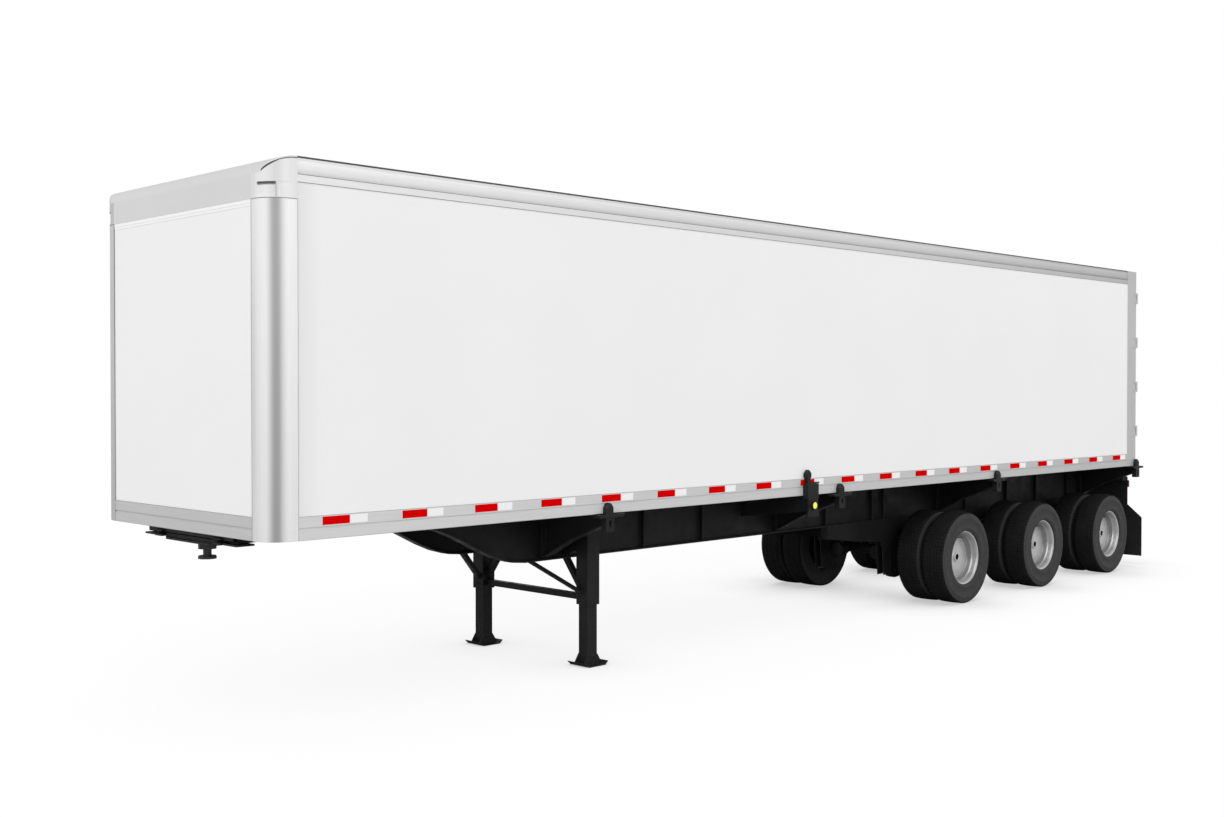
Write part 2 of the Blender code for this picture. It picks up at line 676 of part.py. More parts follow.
def make_rear_frame(paints):
    """Portal of two posts, header and sill, with the lugs and pins of the door hinges."""
    opening_half = HALF_WIDTH - REAR_POST_WIDTH
    rebate_half = HALF_WIDTH - PORTAL_LIP_WIDTH
    frame = block("rear_frame", (x_at(POST_START), x_at(PORTAL_END)), (-HALF_WIDTH, HALF_WIDTH),
                  (BOX_BOTTOM, BOX_TOP), paints["silver"])
    opening = block("opening", (x_at(POST_START - REAR_POST_LENGTH), x_at(POST_END + SWING_GAP)),
                    (-opening_half, opening_half),
                    (SILL_TOP, BOX_TOP - REAR_HEADER_HEIGHT), paints["silver"])
    rebate = block("rebate", (x_at(POST_END), x_at(PORTAL_END + REAR_POST_LENGTH)),
                   (-rebate_half, rebate_half), (SILL_TOP, DOOR_TOP + SWING_GAP),
                   paints["silver"])
    cut(frame, opening, rebate)
    lug_half = KNUCKLE_LENGTH / 2 + KNUCKLE_END_PLAY
    parts = []
    for side_name, side in SIDES:
        for number, height in enumerate(hinge_heights()):
            for step in (-1, 1):
                z_range = sorted((height + step * lug_half,
                                  height + step * (lug_half + LUG_HEIGHT)))
                start = x_at(PORTAL_END - LUG_LENGTH)
                outline = [(start, HALF_WIDTH - LUG_SEAT),
                           (x_at(PORTAL_END), HALF_WIDTH - LUG_SEAT)]
                outline += arc((x_at(PIN_PLACE), PIN_Y), LUG_RADIUS, -90, 90, 3)
                outline.append((start, HALF_WIDTH + LUG_PROUD))
                parts.append(prism("lug_%s_%d_%d" % (side_name, number, step),
                                   [(x, side * y) for x, y in outline], "z",
                                   z_range[0], z_range[1], paints["silver"]))
            centre = (x_at(PIN_PLACE), side * PIN_Y)
            reach = lug_half + LUG_HEIGHT / 2
            parts.append(rod("pin_%s_%d" % (side_name, number), (*centre, height - reach),
                             (*centre, height + reach), PIN_RADIUS, HINGE_SIDES,
                             paints["silver"]))
    join(frame, *parts)


def make_door(side_name, side, paints):
    """One door leaf with its hinge straps and the lock rods in their bearings."""
    name = "door_" + side_name
    outer_edge = DOOR_EDGE
    centre_gap = SWING_GAP / 2
    face = x_at(BOX_LENGTH)
    leaf = block(name, (x_at(BOX_LENGTH - DOOR_THICKNESS), face),
                 sorted((side * centre_gap, side * outer_edge)), (DOOR_BOTTOM, DOOR_TOP),
                 paints["panel"])
    axis = (x_at(PIN_PLACE), side * PIN_Y)
    parts = []
    bores = []
    for number, height in enumerate(hinge_heights()):
        z_range = (height - KNUCKLE_LENGTH / 2, height + KNUCKLE_LENGTH / 2)
        parts.append(rod("knuckle_%d" % number, (*axis, z_range[0]), (*axis, z_range[1]),
                         KNUCKLE_RADIUS, HINGE_SIDES, paints["panel"]))
        strap = [(face - 0.001, outer_edge - STRAP_LENGTH),
                 (face + STRAP_THICKNESS, outer_edge - STRAP_LENGTH),
                 (face + STRAP_THICKNESS, outer_edge - STRAP_BEND),
                 (axis[0] + KNUCKLE_RADIUS * 0.4, PIN_Y - KNUCKLE_RADIUS * 0.8),
                 (axis[0] - KNUCKLE_RADIUS * 0.8, PIN_Y),
                 (face + PORTAL_LIP_BEYOND + SWING_GAP, outer_edge), (face - 0.001, outer_edge)]
        parts.append(prism("strap_%d" % number, [(x, side * y) for x, y in strap], "z",
                           z_range[0] + 0.002, z_range[1] - 0.002, paints["panel"]))
        bores.append(rod("bore_%d" % number, (*axis, z_range[0] - 0.01),
                         (*axis, z_range[1] + 0.01), PIN_RADIUS + PIN_PLAY, HINGE_SIDES,
                         paints["panel"]))
    for number, place in enumerate(LOCK_ROD_PLACES):
        y = side * (centre_gap + place)
        rod_axis = face + LOCK_ROD_STANDOFF
        parts.append(rod("lock_rod_%d" % number, (rod_axis, y, DOOR_BOTTOM + 0.010),
                         (rod_axis, y, DOOR_TOP - 0.010), LOCK_ROD_RADIUS, 6,
                         paints["panel"]))
        for share in (0.02, 0.34, 0.66, 0.98):
            height = DOOR_BOTTOM + share * (DOOR_TOP - DOOR_BOTTOM)
            low = max(height - ROD_BEARING_HEIGHT / 2, DOOR_BOTTOM + 0.004)
            high = min(height + ROD_BEARING_HEIGHT / 2, DOOR_TOP - 0.004)
            parts.append(block("bearing_%d_%d" % (number, 100 * share),
                               (face - 0.001, rod_axis + LOCK_ROD_RADIUS + 0.003),
                               (y - ROD_BEARING_WIDTH / 2, y + ROD_BEARING_WIDTH / 2),
                               (low, high), paints["panel"]))
        height = DOOR_BOTTOM + HANDLE_HEIGHT
        parts.append(block("handle_%d" % number, (rod_axis - 0.007, rod_axis + 0.007),
                           sorted((y, y + side * HANDLE_LENGTH)),
                           (height - 0.016, height + 0.016), paints["panel"]))
    join(leaf, *parts)
    cut(leaf, *bores)
    set_origin(leaf, (*axis, DOOR_BOTTOM))


def rail_section(bottom, top):
    """I section of a chassis rail, as (y from the web, z) points."""
    web = RAIL_WEB_THICKNESS / 2
    flange = RAIL_FLANGE_WIDTH / 2
    thick = RAIL_FLANGE_THICKNESS
    return [(-flange, bottom), (flange, bottom), (flange, bottom + thick), (web, bottom + thick),
            (web, top - thick), (flange, top - thick), (flange, top), (-flange, top),
            (-flange, top - thick), (-web, top - thick), (-web, bottom + thick),
            (-flange, bottom + thick)]


def rail_bottom(place):
    """Height of a rail's lower edge: shallow in the neck, then a half wave down."""
    if place <= NECK_CURVE_START:
        return NECK_BOTTOM
    if place >= NECK_CURVE_END:
        return RAIL_DEEP_BOTTOM
    share = (place - NECK_CURVE_START) / (NECK_CURVE_END - NECK_CURVE_START)
    return NECK_BOTTOM + (RAIL_DEEP_BOTTOM - NECK_BOTTOM) * (1 - math.cos(math.pi * share)) / 2


def make_main_rails(paints):
    """Two I rails with the goose neck's curve and upright stiffeners on the outside."""
    curve = [NECK_CURVE_START + (NECK_CURVE_END - NECK_CURVE_START) * number / NECK_CURVE_STEPS
             for number in range(NECK_CURVE_STEPS + 1)]
    stations = [RAIL_START] + curve + [RAIL_END]
    for side_name, side in SIDES:
        sections = []
        for place in stations:
            sections.append([(x_at(place), side * RAIL_OFFSET + y, z)
                             for y, z in rail_section(rail_bottom(place), RAIL_TOP)])
        rail = loft("main_rail_" + side_name, sections, paints["black"])
        web = RAIL_WEB_THICKNESS / 2 - 0.001
        flange = RAIL_FLANGE_WIDTH / 2 - 0.004
        stiffeners = []
        for number, place in enumerate(STIFFENER_PLACES):
            stiffeners.append(block("stiffener_%d" % number,
                                    (x_at(place - STIFFENER_THICKNESS / 2),
                                     x_at(place + STIFFENER_THICKNESS / 2)),
                                    sorted((side * (RAIL_OFFSET + web),
                                            side * (RAIL_OFFSET + flange))),
                                    (RAIL_DEEP_BOTTOM + 0.006, RAIL_TOP - 0.006),
                                    paints["black"]))
        join(rail, *stiffeners)


def make_coupler(paints):
    """Cross beam under the nose, its pan and the kingpin."""
    pan_top = NECK_BOTTOM - SEAT_GAP
    pan_bottom = pan_top - PAN_THICKNESS
    start = COUPLER_BEAM_START
    inner = RAIL_OFFSET - RAIL_FLANGE_WIDTH / 2 - SEAT_GAP
    outer = RAIL_OFFSET + RAIL_FLANGE_WIDTH / 2 + SEAT_GAP
    top = BOX_BOTTOM - SEAT_GAP
    over_rail = RAIL_TOP + SEAT_GAP
    flange_top = pan_top + COUPLER_FLANGE_THICKNESS
    web_start = start + (COUPLER_BEAM_LENGTH - COUPLER_WEB_LENGTH) / 2
    web = [(COUPLER_WEB_HALF_WIDTH, top), (COUPLER_WEB_HALF_WIDTH, pan_top), (outer, pan_top),
           (outer, over_rail), (inner, over_rail), (inner, pan_top)]
    beam = prism("coupler_beam", web + [(-y, z) for y, z in web[::-1]], "x",
                 x_at(web_start), x_at(web_start + COUPLER_WEB_LENGTH), paints["black"])
    flanges = [block("beam_flange", (x_at(start), x_at(start + COUPLER_BEAM_LENGTH)),
                     sorted((side * outer, side * COUPLER_BEAM_HALF_WIDTH)),
                     (pan_top, flange_top), paints["black"]) for side_name, side in SIDES]
    chamfer = PAN_CHAMFER
    plan = [(RAIL_START, PAN_HALF_WIDTH - chamfer), (RAIL_START + chamfer / 2, PAN_HALF_WIDTH),
            (RAIL_START + PAN_LENGTH - chamfer, PAN_HALF_WIDTH),
            (RAIL_START + PAN_LENGTH, PAN_HALF_WIDTH - chamfer)]
    plan += [(place, -y) for place, y in plan[::-1]]
    pan = prism("pan", [(x_at(place), y) for place, y in plan], "z", pan_bottom, pan_top,
                paints["black"])
    key = block("key", (x_at(start + 0.010), x_at(start + COUPLER_BEAM_LENGTH - 0.010)),
                (-inner + 0.020, inner - 0.020), (pan_bottom + 0.004, pan_top + 0.030),
                paints["black"])
    join(beam, pan, key, *flanges)
    collar_depth = KINGPIN_COLLAR_DEPTH
    flange_depth = KINGPIN_FLANGE_DEPTH
    top = pan_bottom - SEAT_GAP
    profile = [(top, 0.0), (top, KINGPIN_COLLAR_RADIUS), (top - collar_depth, KINGPIN_COLLAR_RADIUS),
               (top - collar_depth, KINGPIN_NECK_RADIUS),
               (KINGPIN_BOTTOM + flange_depth, KINGPIN_NECK_RADIUS),
               (KINGPIN_BOTTOM + flange_depth, KINGPIN_FLANGE_RADIUS * 0.93),
               (KINGPIN_BOTTOM + flange_depth * 0.8, KINGPIN_FLANGE_RADIUS),
               (KINGPIN_BOTTOM, KINGPIN_FLANGE_RADIUS), (KINGPIN_BOTTOM, 0.0)]
    turned("kingpin", profile, (x_at(KINGPIN_PLACE), 0.0, 0.0), "z", 16, paints["steel"],
           closed=False)


def bolster_outline():
    """Half outline in y and z of a bolster that straddles a rail, arms and middle."""
    top = BOX_BOTTOM - SEAT_GAP
    over = RAIL_TOP + SEAT_GAP
    flange = RAIL_FLANGE_WIDTH / 2 + SEAT_GAP
    web = RAIL_WEB_THICKNESS / 2 + SEAT_GAP
    low_flange = RAIL_DEEP_BOTTOM + RAIL_FLANGE_THICKNESS + SEAT_GAP
    high_flange = RAIL_TOP - RAIL_FLANGE_THICKNESS - SEAT_GAP
    knee_out, knee_height = BOLSTER_KNEE
    right = RAIL_OFFSET
    return [(HALF_WIDTH, top), (HALF_WIDTH, BOLSTER_TIP_BOTTOM), (knee_out, knee_height),
            (right + flange, low_flange + 0.010), (right + web, low_flange + 0.010),
            (right + web, high_flange), (right + flange, high_flange), (right + flange, over),
            (right - flange, over), (right - flange, high_flange), (right - web, high_flange),
            (right - web, BOLSTER_WEB_BOTTOM)]


def bolster_underside(y):
    """Height of an arm's lower edge, from the rail to the knee and on to the tip."""
    knee_out, knee_height = BOLSTER_KNEE
    if y > knee_out:
        share = (y - knee_out) / (HALF_WIDTH - knee_out)
        return knee_height + (BOLSTER_TIP_BOTTOM - knee_height) * share
    root = RAIL_OFFSET + RAIL_FLANGE_WIDTH / 2
    root_height = RAIL_DEEP_BOTTOM + RAIL_FLANGE_THICKNESS
    share = (y - root) / (knee_out - root)
    return root_height + (knee_height - root_height) * share


def bolster_pockets(place, paints):
    """Cutters for the pockets on both faces, which leave a web inside a flange."""
    top = BOX_BOTTOM - SEAT_GAP - BOLSTER_FLANGE
    near = RAIL_OFFSET + RAIL_FLANGE_WIDTH / 2 + BOLSTER_FLANGE
    far = HALF_WIDTH - BOLSTER_FLANGE
    knee_out, knee_height = BOLSTER_KNEE
    arm = [(near, top), (near, bolster_underside(near) + BOLSTER_FLANGE),
           (knee_out, knee_height + BOLSTER_FLANGE),
           (far, bolster_underside(far) + BOLSTER_FLANGE), (far, top)]
    middle = RAIL_OFFSET - RAIL_FLANGE_WIDTH / 2 - BOLSTER_FLANGE
    low = BOLSTER_WEB_BOTTOM + BOLSTER_FLANGE
    outlines = [[(-middle, low), (middle, low), (middle, top), (-middle, top)]]
    outlines += [mirrored(side, arm) for side_name, side in SIDES]
    cutters = []
    for step in (-1, 1):
        reach = sorted((x_at(place + step * BOLSTER_WEB / 2), x_at(place + step * BOLSTER_WIDTH)))
        cutters += [prism("pocket", outline, "x", *reach, paints["black"])
                    for outline in outlines]
    return cutters


def lock_section(place, side, height, scale):
    """Plan of a lock's head at one height: flat against the box and chamfered outside."""
    half = LOCK_HEAD_LENGTH / 2 * scale
    face = LOCK_SIDE + LOCK_HEAD_DEPTH * (1 + scale) / 2
    chamfer = LOCK_HEAD_CHAMFER * scale
    plan = [(-half, LOCK_SIDE), (-half, face - chamfer), (-half + chamfer, face),
            (half - chamfer, face), (half, face - chamfer), (half, LOCK_SIDE)]
    return [(x_at(place) + along, side * y, height) for along, y in plan]


def lock_head(name, place, side, paints):
    """Round-topped guide beside the box, with its lever plate and slotted shoe."""
    face = LOCK_SIDE + LOCK_HEAD_DEPTH
    seat = BOX_BOTTOM - LOCK_LEVER_BELOW_BOX
    under = seat - LOCK_LEVER_THICKNESS
    stations = [(seat - SEAT_GAP, 1.0), (LOCK_HEAD_TOP - LOCK_HEAD_SHOULDER, 1.0)]
    stations += [(LOCK_HEAD_TOP - LOCK_HEAD_SHOULDER * share, scale)
                 for share, scale in LOCK_HEAD_DOME]
    head = loft(name + "_head", [lock_section(place, side, height, scale)
                                 for height, scale in stations], paints["black"])
    half = LOCK_LEVER_LENGTH / 2
    plate = [(-half, seat), (half, seat), (half - LOCK_LEVER_TAPER, under),
             (-half + LOCK_LEVER_TAPER, under)]
    middle = x_at(place + LOCK_LEVER_BEHIND)
    lever = prism(name + "_lever", [(middle + along, z) for along, z in plate], "y",
                  *sorted((side * (HALF_WIDTH - LOCK_HEAD_DEPTH), side * face)),
                  paints["black"])
    shoe_face = face - LOCK_CLEARANCE
    shoe = block(name + "_shoe",
                 (x_at(place - LOCK_SHOE_LENGTH / 2), x_at(place + LOCK_SHOE_LENGTH / 2)),
                 sorted((side * (HALF_WIDTH - BOLSTER_FLANGE), side * shoe_face)),
                 (LOCK_SHOE_BOTTOM, under + LOCK_CLEARANCE), paints["black"])
    slot_width, slot_height = LOCK_SLOT
    low = LOCK_SHOE_BOTTOM + LOCK_SLOT_ABOVE_SHOE
    outline = [(0.0, low), (slot_width / 2, low + slot_width), (slot_width / 2, low + slot_height),
               (-slot_width / 2, low + slot_height), (-slot_width / 2, low + slot_width)]
    slot = prism(name + "_slot", [(x_at(place) + along, z) for along, z in outline], "y",
                 *sorted((side * LOCK_SIDE, side * (face + LOCK_CLEARANCE))), paints["black"])
    cut(shoe, slot)
    return head, lever, shoe


def make_bolsters(paints):
    """Cross beams with tapered arms that carry the box, with a lock at each tip."""
    for label, place in BOLSTER_PLACES.items():
        half = bolster_outline()
        outline = half + [(-y, z) for y, z in half[::-1]]
        name = "bolster_" + label
        beam = prism(name, outline, "x", x_at(place - BOLSTER_WIDTH / 2),
                     x_at(place + BOLSTER_WIDTH / 2), paints["black"])
        cut(beam, *bolster_pockets(place, paints))
        parts = []
        for side_name, side in SIDES:
            parts.extend(lock_head("%s_%s" % (name, side_name), place, side, paints))
        join(beam, *parts)


def marker_post(side_name, side, paints):
    """Guide post beside the box: a housing, a flared lamp plate, a pin and its lever."""
    x = x_at(MARKER_PLACE)
    face = LOCK_SIDE + MARKER_DEPTH
    half = MARKER_BOX_LENGTH / 2
    post = block("marker_post_" + side_name, (x - half, x + half),
                 sorted((side * LOCK_SIDE, side * face)), (MARKER_BOX_BOTTOM, MARKER_BOX_TOP),
                 paints["black"])
    half = MARKER_PLATE_LENGTH / 2
    flare = half + MARKER_FLARE
    step = MARKER_PLATE_BOTTOM + MARKER_FLARE_HEIGHT
    outline = [(half, MARKER_BOX_BOTTOM + MARKER_PLATE_THICKNESS), (half, step),
               (flare, MARKER_PLATE_BOTTOM)]
    outline += [(-along, z) for along, z in outline[::-1]]
    plate = prism("lamp_plate", [(x + along, z) for along, z in outline], "y",
                  *sorted((side * (face - MARKER_PLATE_THICKNESS), side * (face - SEAT_GAP))),
                  paints["black"])
    pin_x = x - MARKER_PIN_AHEAD
    half = MARKER_PIN_LENGTH / 2
    neck = MARKER_PIN_NECK / 2
    outline = [(0.0, MARKER_PIN_TOP), (half, MARKER_PIN_TOP - half), (half, MARKER_PIN_TOP - 2 * half),
               (neck, MARKER_PIN_TOP - 3 * half + neck), (neck, MARKER_BOX_TOP - SEAT_GAP)]
    outline += [(-along, z) for along, z in outline[:0:-1]]
    pin = prism("pin", [(pin_x + along, z) for along, z in outline], "y",
                *sorted((side * LOCK_SIDE, side * (LOCK_SIDE + MARKER_PIN_DEPTH))),
                paints["black"])
    lever_low = MARKER_BOX_TOP - SEAT_GAP
    lever = block("lever", (pin_x, x + MARKER_LEVER_REACH),
                  sorted((side * (LOCK_SIDE + MARKER_PIN_DEPTH / 3),
                          side * (LOCK_SIDE + MARKER_PIN_DEPTH * 2 / 3))),
                  (lever_low, lever_low + MARKER_LEVER_THICKNESS), paints["black"])
    lamp_x = x + MARKER_LAMP_BEHIND
    lamp = rod("lamp", (lamp_x, side * (face - MARKER_PLATE_THICKNESS / 2), MARKER_LAMP_HEIGHT),
               (lamp_x, side * (face + MARKER_LAMP_DEPTH), MARKER_LAMP_HEIGHT),
               MARKER_LAMP_RADIUS, 12, paints["black"])
    return post, plate, pin, lever, lamp


def make_marker_posts(paints):
    """Guide posts half way along, each on an arm from its rail."""
    x = x_at(MARKER_PLACE)
    root = RAIL_OFFSET + RAIL_WEB_THICKNESS / 2 + SEAT_GAP
    root_low = RAIL_TOP - MARKER_ARM_BELOW_RAIL_TOP
    top = BOX_BOTTOM - LOCK_LEVER_BELOW_BOX
    tip = LOCK_SIDE + MARKER_DEPTH - MARKER_PLATE_THICKNESS / 2
    tip_low = MARKER_PLATE_BOTTOM + MARKER_FLARE_HEIGHT
    arm = [(tip, MARKER_BOX_BOTTOM), (tip, tip_low), (root, root_low),
           (root, root_low + MARKER_ARM_DEPTH), (HALF_WIDTH - MARKER_ARM_DEPTH, top),
           (LOCK_SIDE, top), (LOCK_SIDE, MARKER_BOX_BOTTOM)]
    half = MARKER_ARM_WIDTH / 2
    for side_name, side in SIDES:
        post, *parts = marker_post(side_name, side, paints)
        beam = prism("arm", mirrored(side, arm), "x", x - half, x + half, paints["black"])
        join(post, beam, *parts)


def landing_strut(name, foot, head, side, paints):
    """Square bar from a leg up to the rail's underside; its ends are (along, y) from the leg."""
    half = LEG_STRUT_WIDTH / 2
    sections = []
    for (along, y), height in ((foot, LEG_STRUT_FOOT), (head, RAIL_DEEP_BOTTOM - SEAT_GAP)):
        centre = x_at(LEG_PLACE) + along
        sections.append([(centre + dx, side * y + dy, height)
                         for dx, dy in ((-half, -half), (half, -half), (half, half), (-half, half))])
    return loft(name, sections, paints["leg"])


def make_landing_gear(paints):
    """Two telescoping legs with foot plates and struts, and the brace between them."""
    x = x_at(LEG_PLACE)
    outer = LEG_OUTER_WIDTH / 2
    inner = LEG_INNER_WIDTH / 2
    foot = FOOT_WIDTH / 2
    strut_inset = LEG_STRUT_WIDTH / 2 + SEAT_GAP
    rail_web = RAIL_OFFSET + RAIL_WEB_THICKNESS / 2 + SEAT_GAP
    flange_edge = RAIL_OFFSET + RAIL_FLANGE_WIDTH / 2 + SEAT_GAP
    for side_name, side in SIDES:
        y = side * LEG_OFFSET
        leg = block("landing_leg_" + side_name, (x - outer, x + outer), (y - outer, y + outer),
                    (LEG_OUTER_BOTTOM, LEG_TOP), paints["leg"])
        tube = block("inner_tube", (x - inner, x + inner), (y - inner, y + inner),
                     (FOOT_THICKNESS / 2, LEG_OUTER_BOTTOM + 0.02), paints["leg"])
        sole = [(-foot - 0.010, FOOT_LIP), (-foot, FOOT_LIP), (-foot + 0.030, FOOT_THICKNESS),
                (foot - 0.030, FOOT_THICKNESS), (foot, FOOT_LIP), (foot + 0.010, FOOT_LIP),
                (foot - 0.028, 0.0), (-foot + 0.028, 0.0)]
        plate = prism("sole", [(x + along, z) for along, z in sole], "y", y - foot, y + foot,
                      paints["leg"])
        reach = inner + FOOT_GUSSET_REACH
        low = FOOT_THICKNESS - 0.002
        corner = FOOT_GUSSET_CORNER
        gusset = [(-reach, low), (reach, low), (inner, FOOT_GUSSET_TOP - corner),
                  (inner - corner, FOOT_GUSSET_TOP), (-inner + corner, FOOT_GUSSET_TOP),
                  (-inner, FOOT_GUSSET_TOP - corner)]
        gussets = []
        for step in (-1, 1):
            near = y + step * (inner - 0.001)
            far = y + step * (inner + FOOT_GUSSET_THICKNESS)
            gussets.append(prism("gusset", [(x + along, z) for along, z in gusset], "y",
                                 *sorted((near, far)), paints["leg"]))
        high = LEG_TOP - 0.030
        low = high - LEG_BRACKET_DEPTH
        leg_side = LEG_OFFSET - outer + 0.004
        bracket = [(rail_web, low), (rail_web, high), (leg_side, high), (leg_side, low + 0.060),
                   (flange_edge, low)]
        mount = prism("bracket", mirrored(side, bracket), "x", x - outer * 0.8, x + outer * 0.8,
                      paints["leg"])
        foot_y = LEG_OFFSET - outer + strut_inset
        struts = (landing_strut("side_strut", (0.0, foot_y), (0.0, RAIL_OFFSET), side, paints),
                  landing_strut("front_strut", (-outer + strut_inset, LEG_OFFSET),
                                (-LEG_STRUT_FORWARD, RAIL_OFFSET + LEG_STRUT_HEAD_OUT), side,
                                paints))
        join(leg, tube, plate, *gussets, mount, *struts)
    reach = LEG_OFFSET - outer - SEAT_GAP
    tube = LEG_BRACE_TUBE / 2
    block("landing_brace", (x - tube, x + tube), (-reach, reach),
          (LEG_BRACE_HEIGHT - tube, LEG_BRACE_HEIGHT + tube), paints["leg"])


def subframe_outline():
    """Side outline of a slider rail, as (place, z) points from the front.

    A deep plate tapers down to the front hanger. Between the axles a rocking beam hangs
    over the ends of two springs, and a short hanger takes the last spring's end.
    """
    top = RAIL_DEEP_BOTTOM - SEAT_GAP
    underside = RAIL_DEEP_BOTTOM - SUBFRAME_DEPTH
    half = HANGER_LENGTH / 2
    tip = HANGER_TIP_LENGTH / 2
    low = SPRING_END_HEIGHT + SPRING_THICKNESS / 2 + SEAT_GAP
    room = underside - low
    front = AXLE_PLACES[0] - SPRING_REACH
    outline = [(SUBFRAME_START, top), (SUBFRAME_START, RAIL_DEEP_BOTTOM - SUBFRAME_NOSE_DEPTH),
               (front - half, RAIL_DEEP_BOTTOM - SUBFRAME_FRONT_DEPTH),
               (front - tip, FRONT_HANGER_BOTTOM), (front + tip, FRONT_HANGER_BOTTOM),
               (front + half, underside)]
    for near, far in zip(AXLE_PLACES, AXLE_PLACES[1:]):
        pivot = (near + far) / 2
        reach = (far - near) / 2 - SPRING_REACH + SPRING_TIP
        rocker = [(reach, low), (reach, low + room * ROCKER_TIP_SHARE),
                  (tip, low + room * ROCKER_SHARE), (half, underside)]
        outline += [(pivot - along, z) for along, z in rocker[::-1]]
        outline += [(pivot + along, z) for along, z in rocker]
    rear = AXLE_PLACES[-1] + SPRING_REACH
    outline += [(rear - half, underside), (rear - tip, low), (rear + tip, low),
                (rear + half, underside), (SUBFRAME_END, underside), (SUBFRAME_END, top)]
    return outline


def make_subframes(paints):
    """Slider rails under the main rails, with the hangers of the springs."""
    half = SUBFRAME_WIDTH / 2
    outline = [(x_at(place), z) for place, z in subframe_outline()]
    for side_name, side in SIDES:
        y = side * RAIL_OFFSET
        frame = prism("subframe_" + side_name, outline, "y", y - half, y + half, paints["black"])
        front = x_at(AXLE_PLACES[0] - SPRING_REACH)
        clear = SPRING_WIDTH / 2 + SEAT_GAP
        mouth = block("mouth", (front - HANGER_LENGTH, front + HANGER_LENGTH),
                      (y - clear, y + clear),
                      (FRONT_HANGER_BOTTOM - 0.01,
                       SPRING_END_HEIGHT + SPRING_THICKNESS / 2 + SEAT_GAP), paints["black"])
        cut(frame, mouth)


def make_axles(paints):
    """Axle tubes with spindles, leaf springs, seats and brake chambers."""
    spindle_end = TWIN_MIDDLE + HUB_FRONT - SPINDLE_BEHIND_HUB
    tube_end = TWIN_MIDDLE - DRUM_BACK - SWING_GAP
    for number, place in enumerate(AXLE_PLACES, 1):
        x = x_at(place)
        profile = [(-spindle_end, 0.0), (-spindle_end, SPINDLE_RADIUS),
                   (-tube_end, SPINDLE_RADIUS), (-tube_end, BRAKE_SHIELD_RADIUS),
                   (-tube_end + BRAKE_SHIELD_THICKNESS, BRAKE_SHIELD_RADIUS),
                   (-tube_end + BRAKE_SHIELD_THICKNESS, AXLE_TUBE_RADIUS)]
        profile += [(-along, radius) for along, radius in profile[::-1]]
        axle = turned("axle_%d" % number, profile, (x, 0.0, AXLE_HEIGHT), "y", AXLE_SIDES,
                      paints["black"], closed=False)
        parts = []
        for side_name, side in SIDES:
            y = side * RAIL_OFFSET
            half = SPRING_WIDTH / 2
            seat = SPRING_SEAT_LENGTH / 2
            low = AXLE_HEIGHT + AXLE_TUBE_RADIUS - 0.004
            clamp_top = low + SPRING_THICKNESS + SPRING_CLAMP_HEIGHT
            end = SPRING_REACH + SPRING_TIP
            end_low = SPRING_END_HEIGHT - SPRING_THICKNESS / 2
            end_high = SPRING_END_HEIGHT + SPRING_THICKNESS / 2
            spring = [(-end, end_low), (-seat, low), (seat, low), (end, end_low), (end, end_high),
                      (seat, clamp_top), (-seat, clamp_top), (-end, end_high)]
            parts.append(prism("spring_" + side_name, [(x + along, z) for along, z in spring],
                               "y", y - half, y + half, paints["black"]))
            saddle = [(-seat, low + 0.010), (-seat * 0.7, AXLE_HEIGHT - 0.040),
                      (seat * 0.7, AXLE_HEIGHT - 0.040), (seat, low + 0.010)]
            parts.append(prism("saddle_" + side_name, [(x + along, z) for along, z in saddle],
                               "y", y - half - 0.012, y + half + 0.012, paints["black"]))
            chamber_y = side * BRAKE_CHAMBER_OFFSET
            front = x - BRAKE_CHAMBER_FORWARD
            parts.append(rod("chamber_" + side_name,
                             (front - BRAKE_CHAMBER_LENGTH / 2, chamber_y, AXLE_HEIGHT),
                             (front + BRAKE_CHAMBER_LENGTH / 2, chamber_y, AXLE_HEIGHT),
                             BRAKE_CHAMBER_RADIUS, 8, paints["black"]))
            parts.append(block("chamber_bracket_" + side_name,
                               (front + BRAKE_CHAMBER_LENGTH / 2 - 0.010, x),
                               (chamber_y - 0.020, chamber_y + 0.020),
                               (AXLE_HEIGHT - 0.045, AXLE_HEIGHT + 0.045), paints["black"]))
        join(axle, *parts)


def tyre_profile():
    """Closed outline of a tyre as (along the axle from its middle, radius)."""
    tread = TYRE_RADIUS / FLAT_DOWN
    bead = (BEAD_RADIUS + SEAT_GAP) / FLAT_DOWN
    half = RIM_WIDTH / 2 - RIM_FLANGE_THICKNESS / 2 - SEAT_GAP
    wide = TYRE_WIDTH / 2
    tread_half = TYRE_TREAD_WIDTH / 2
    bulge = bead + (tread - bead) * 0.52
    flange = (RIM_FLANGE_RADIUS + SEAT_GAP) / FLAT_DOWN
    right = [(half, bead), (half, flange), (wide, bulge), (tread_half, tread)]
    return right + [(-along, radius) for along, radius in right[::-1]]


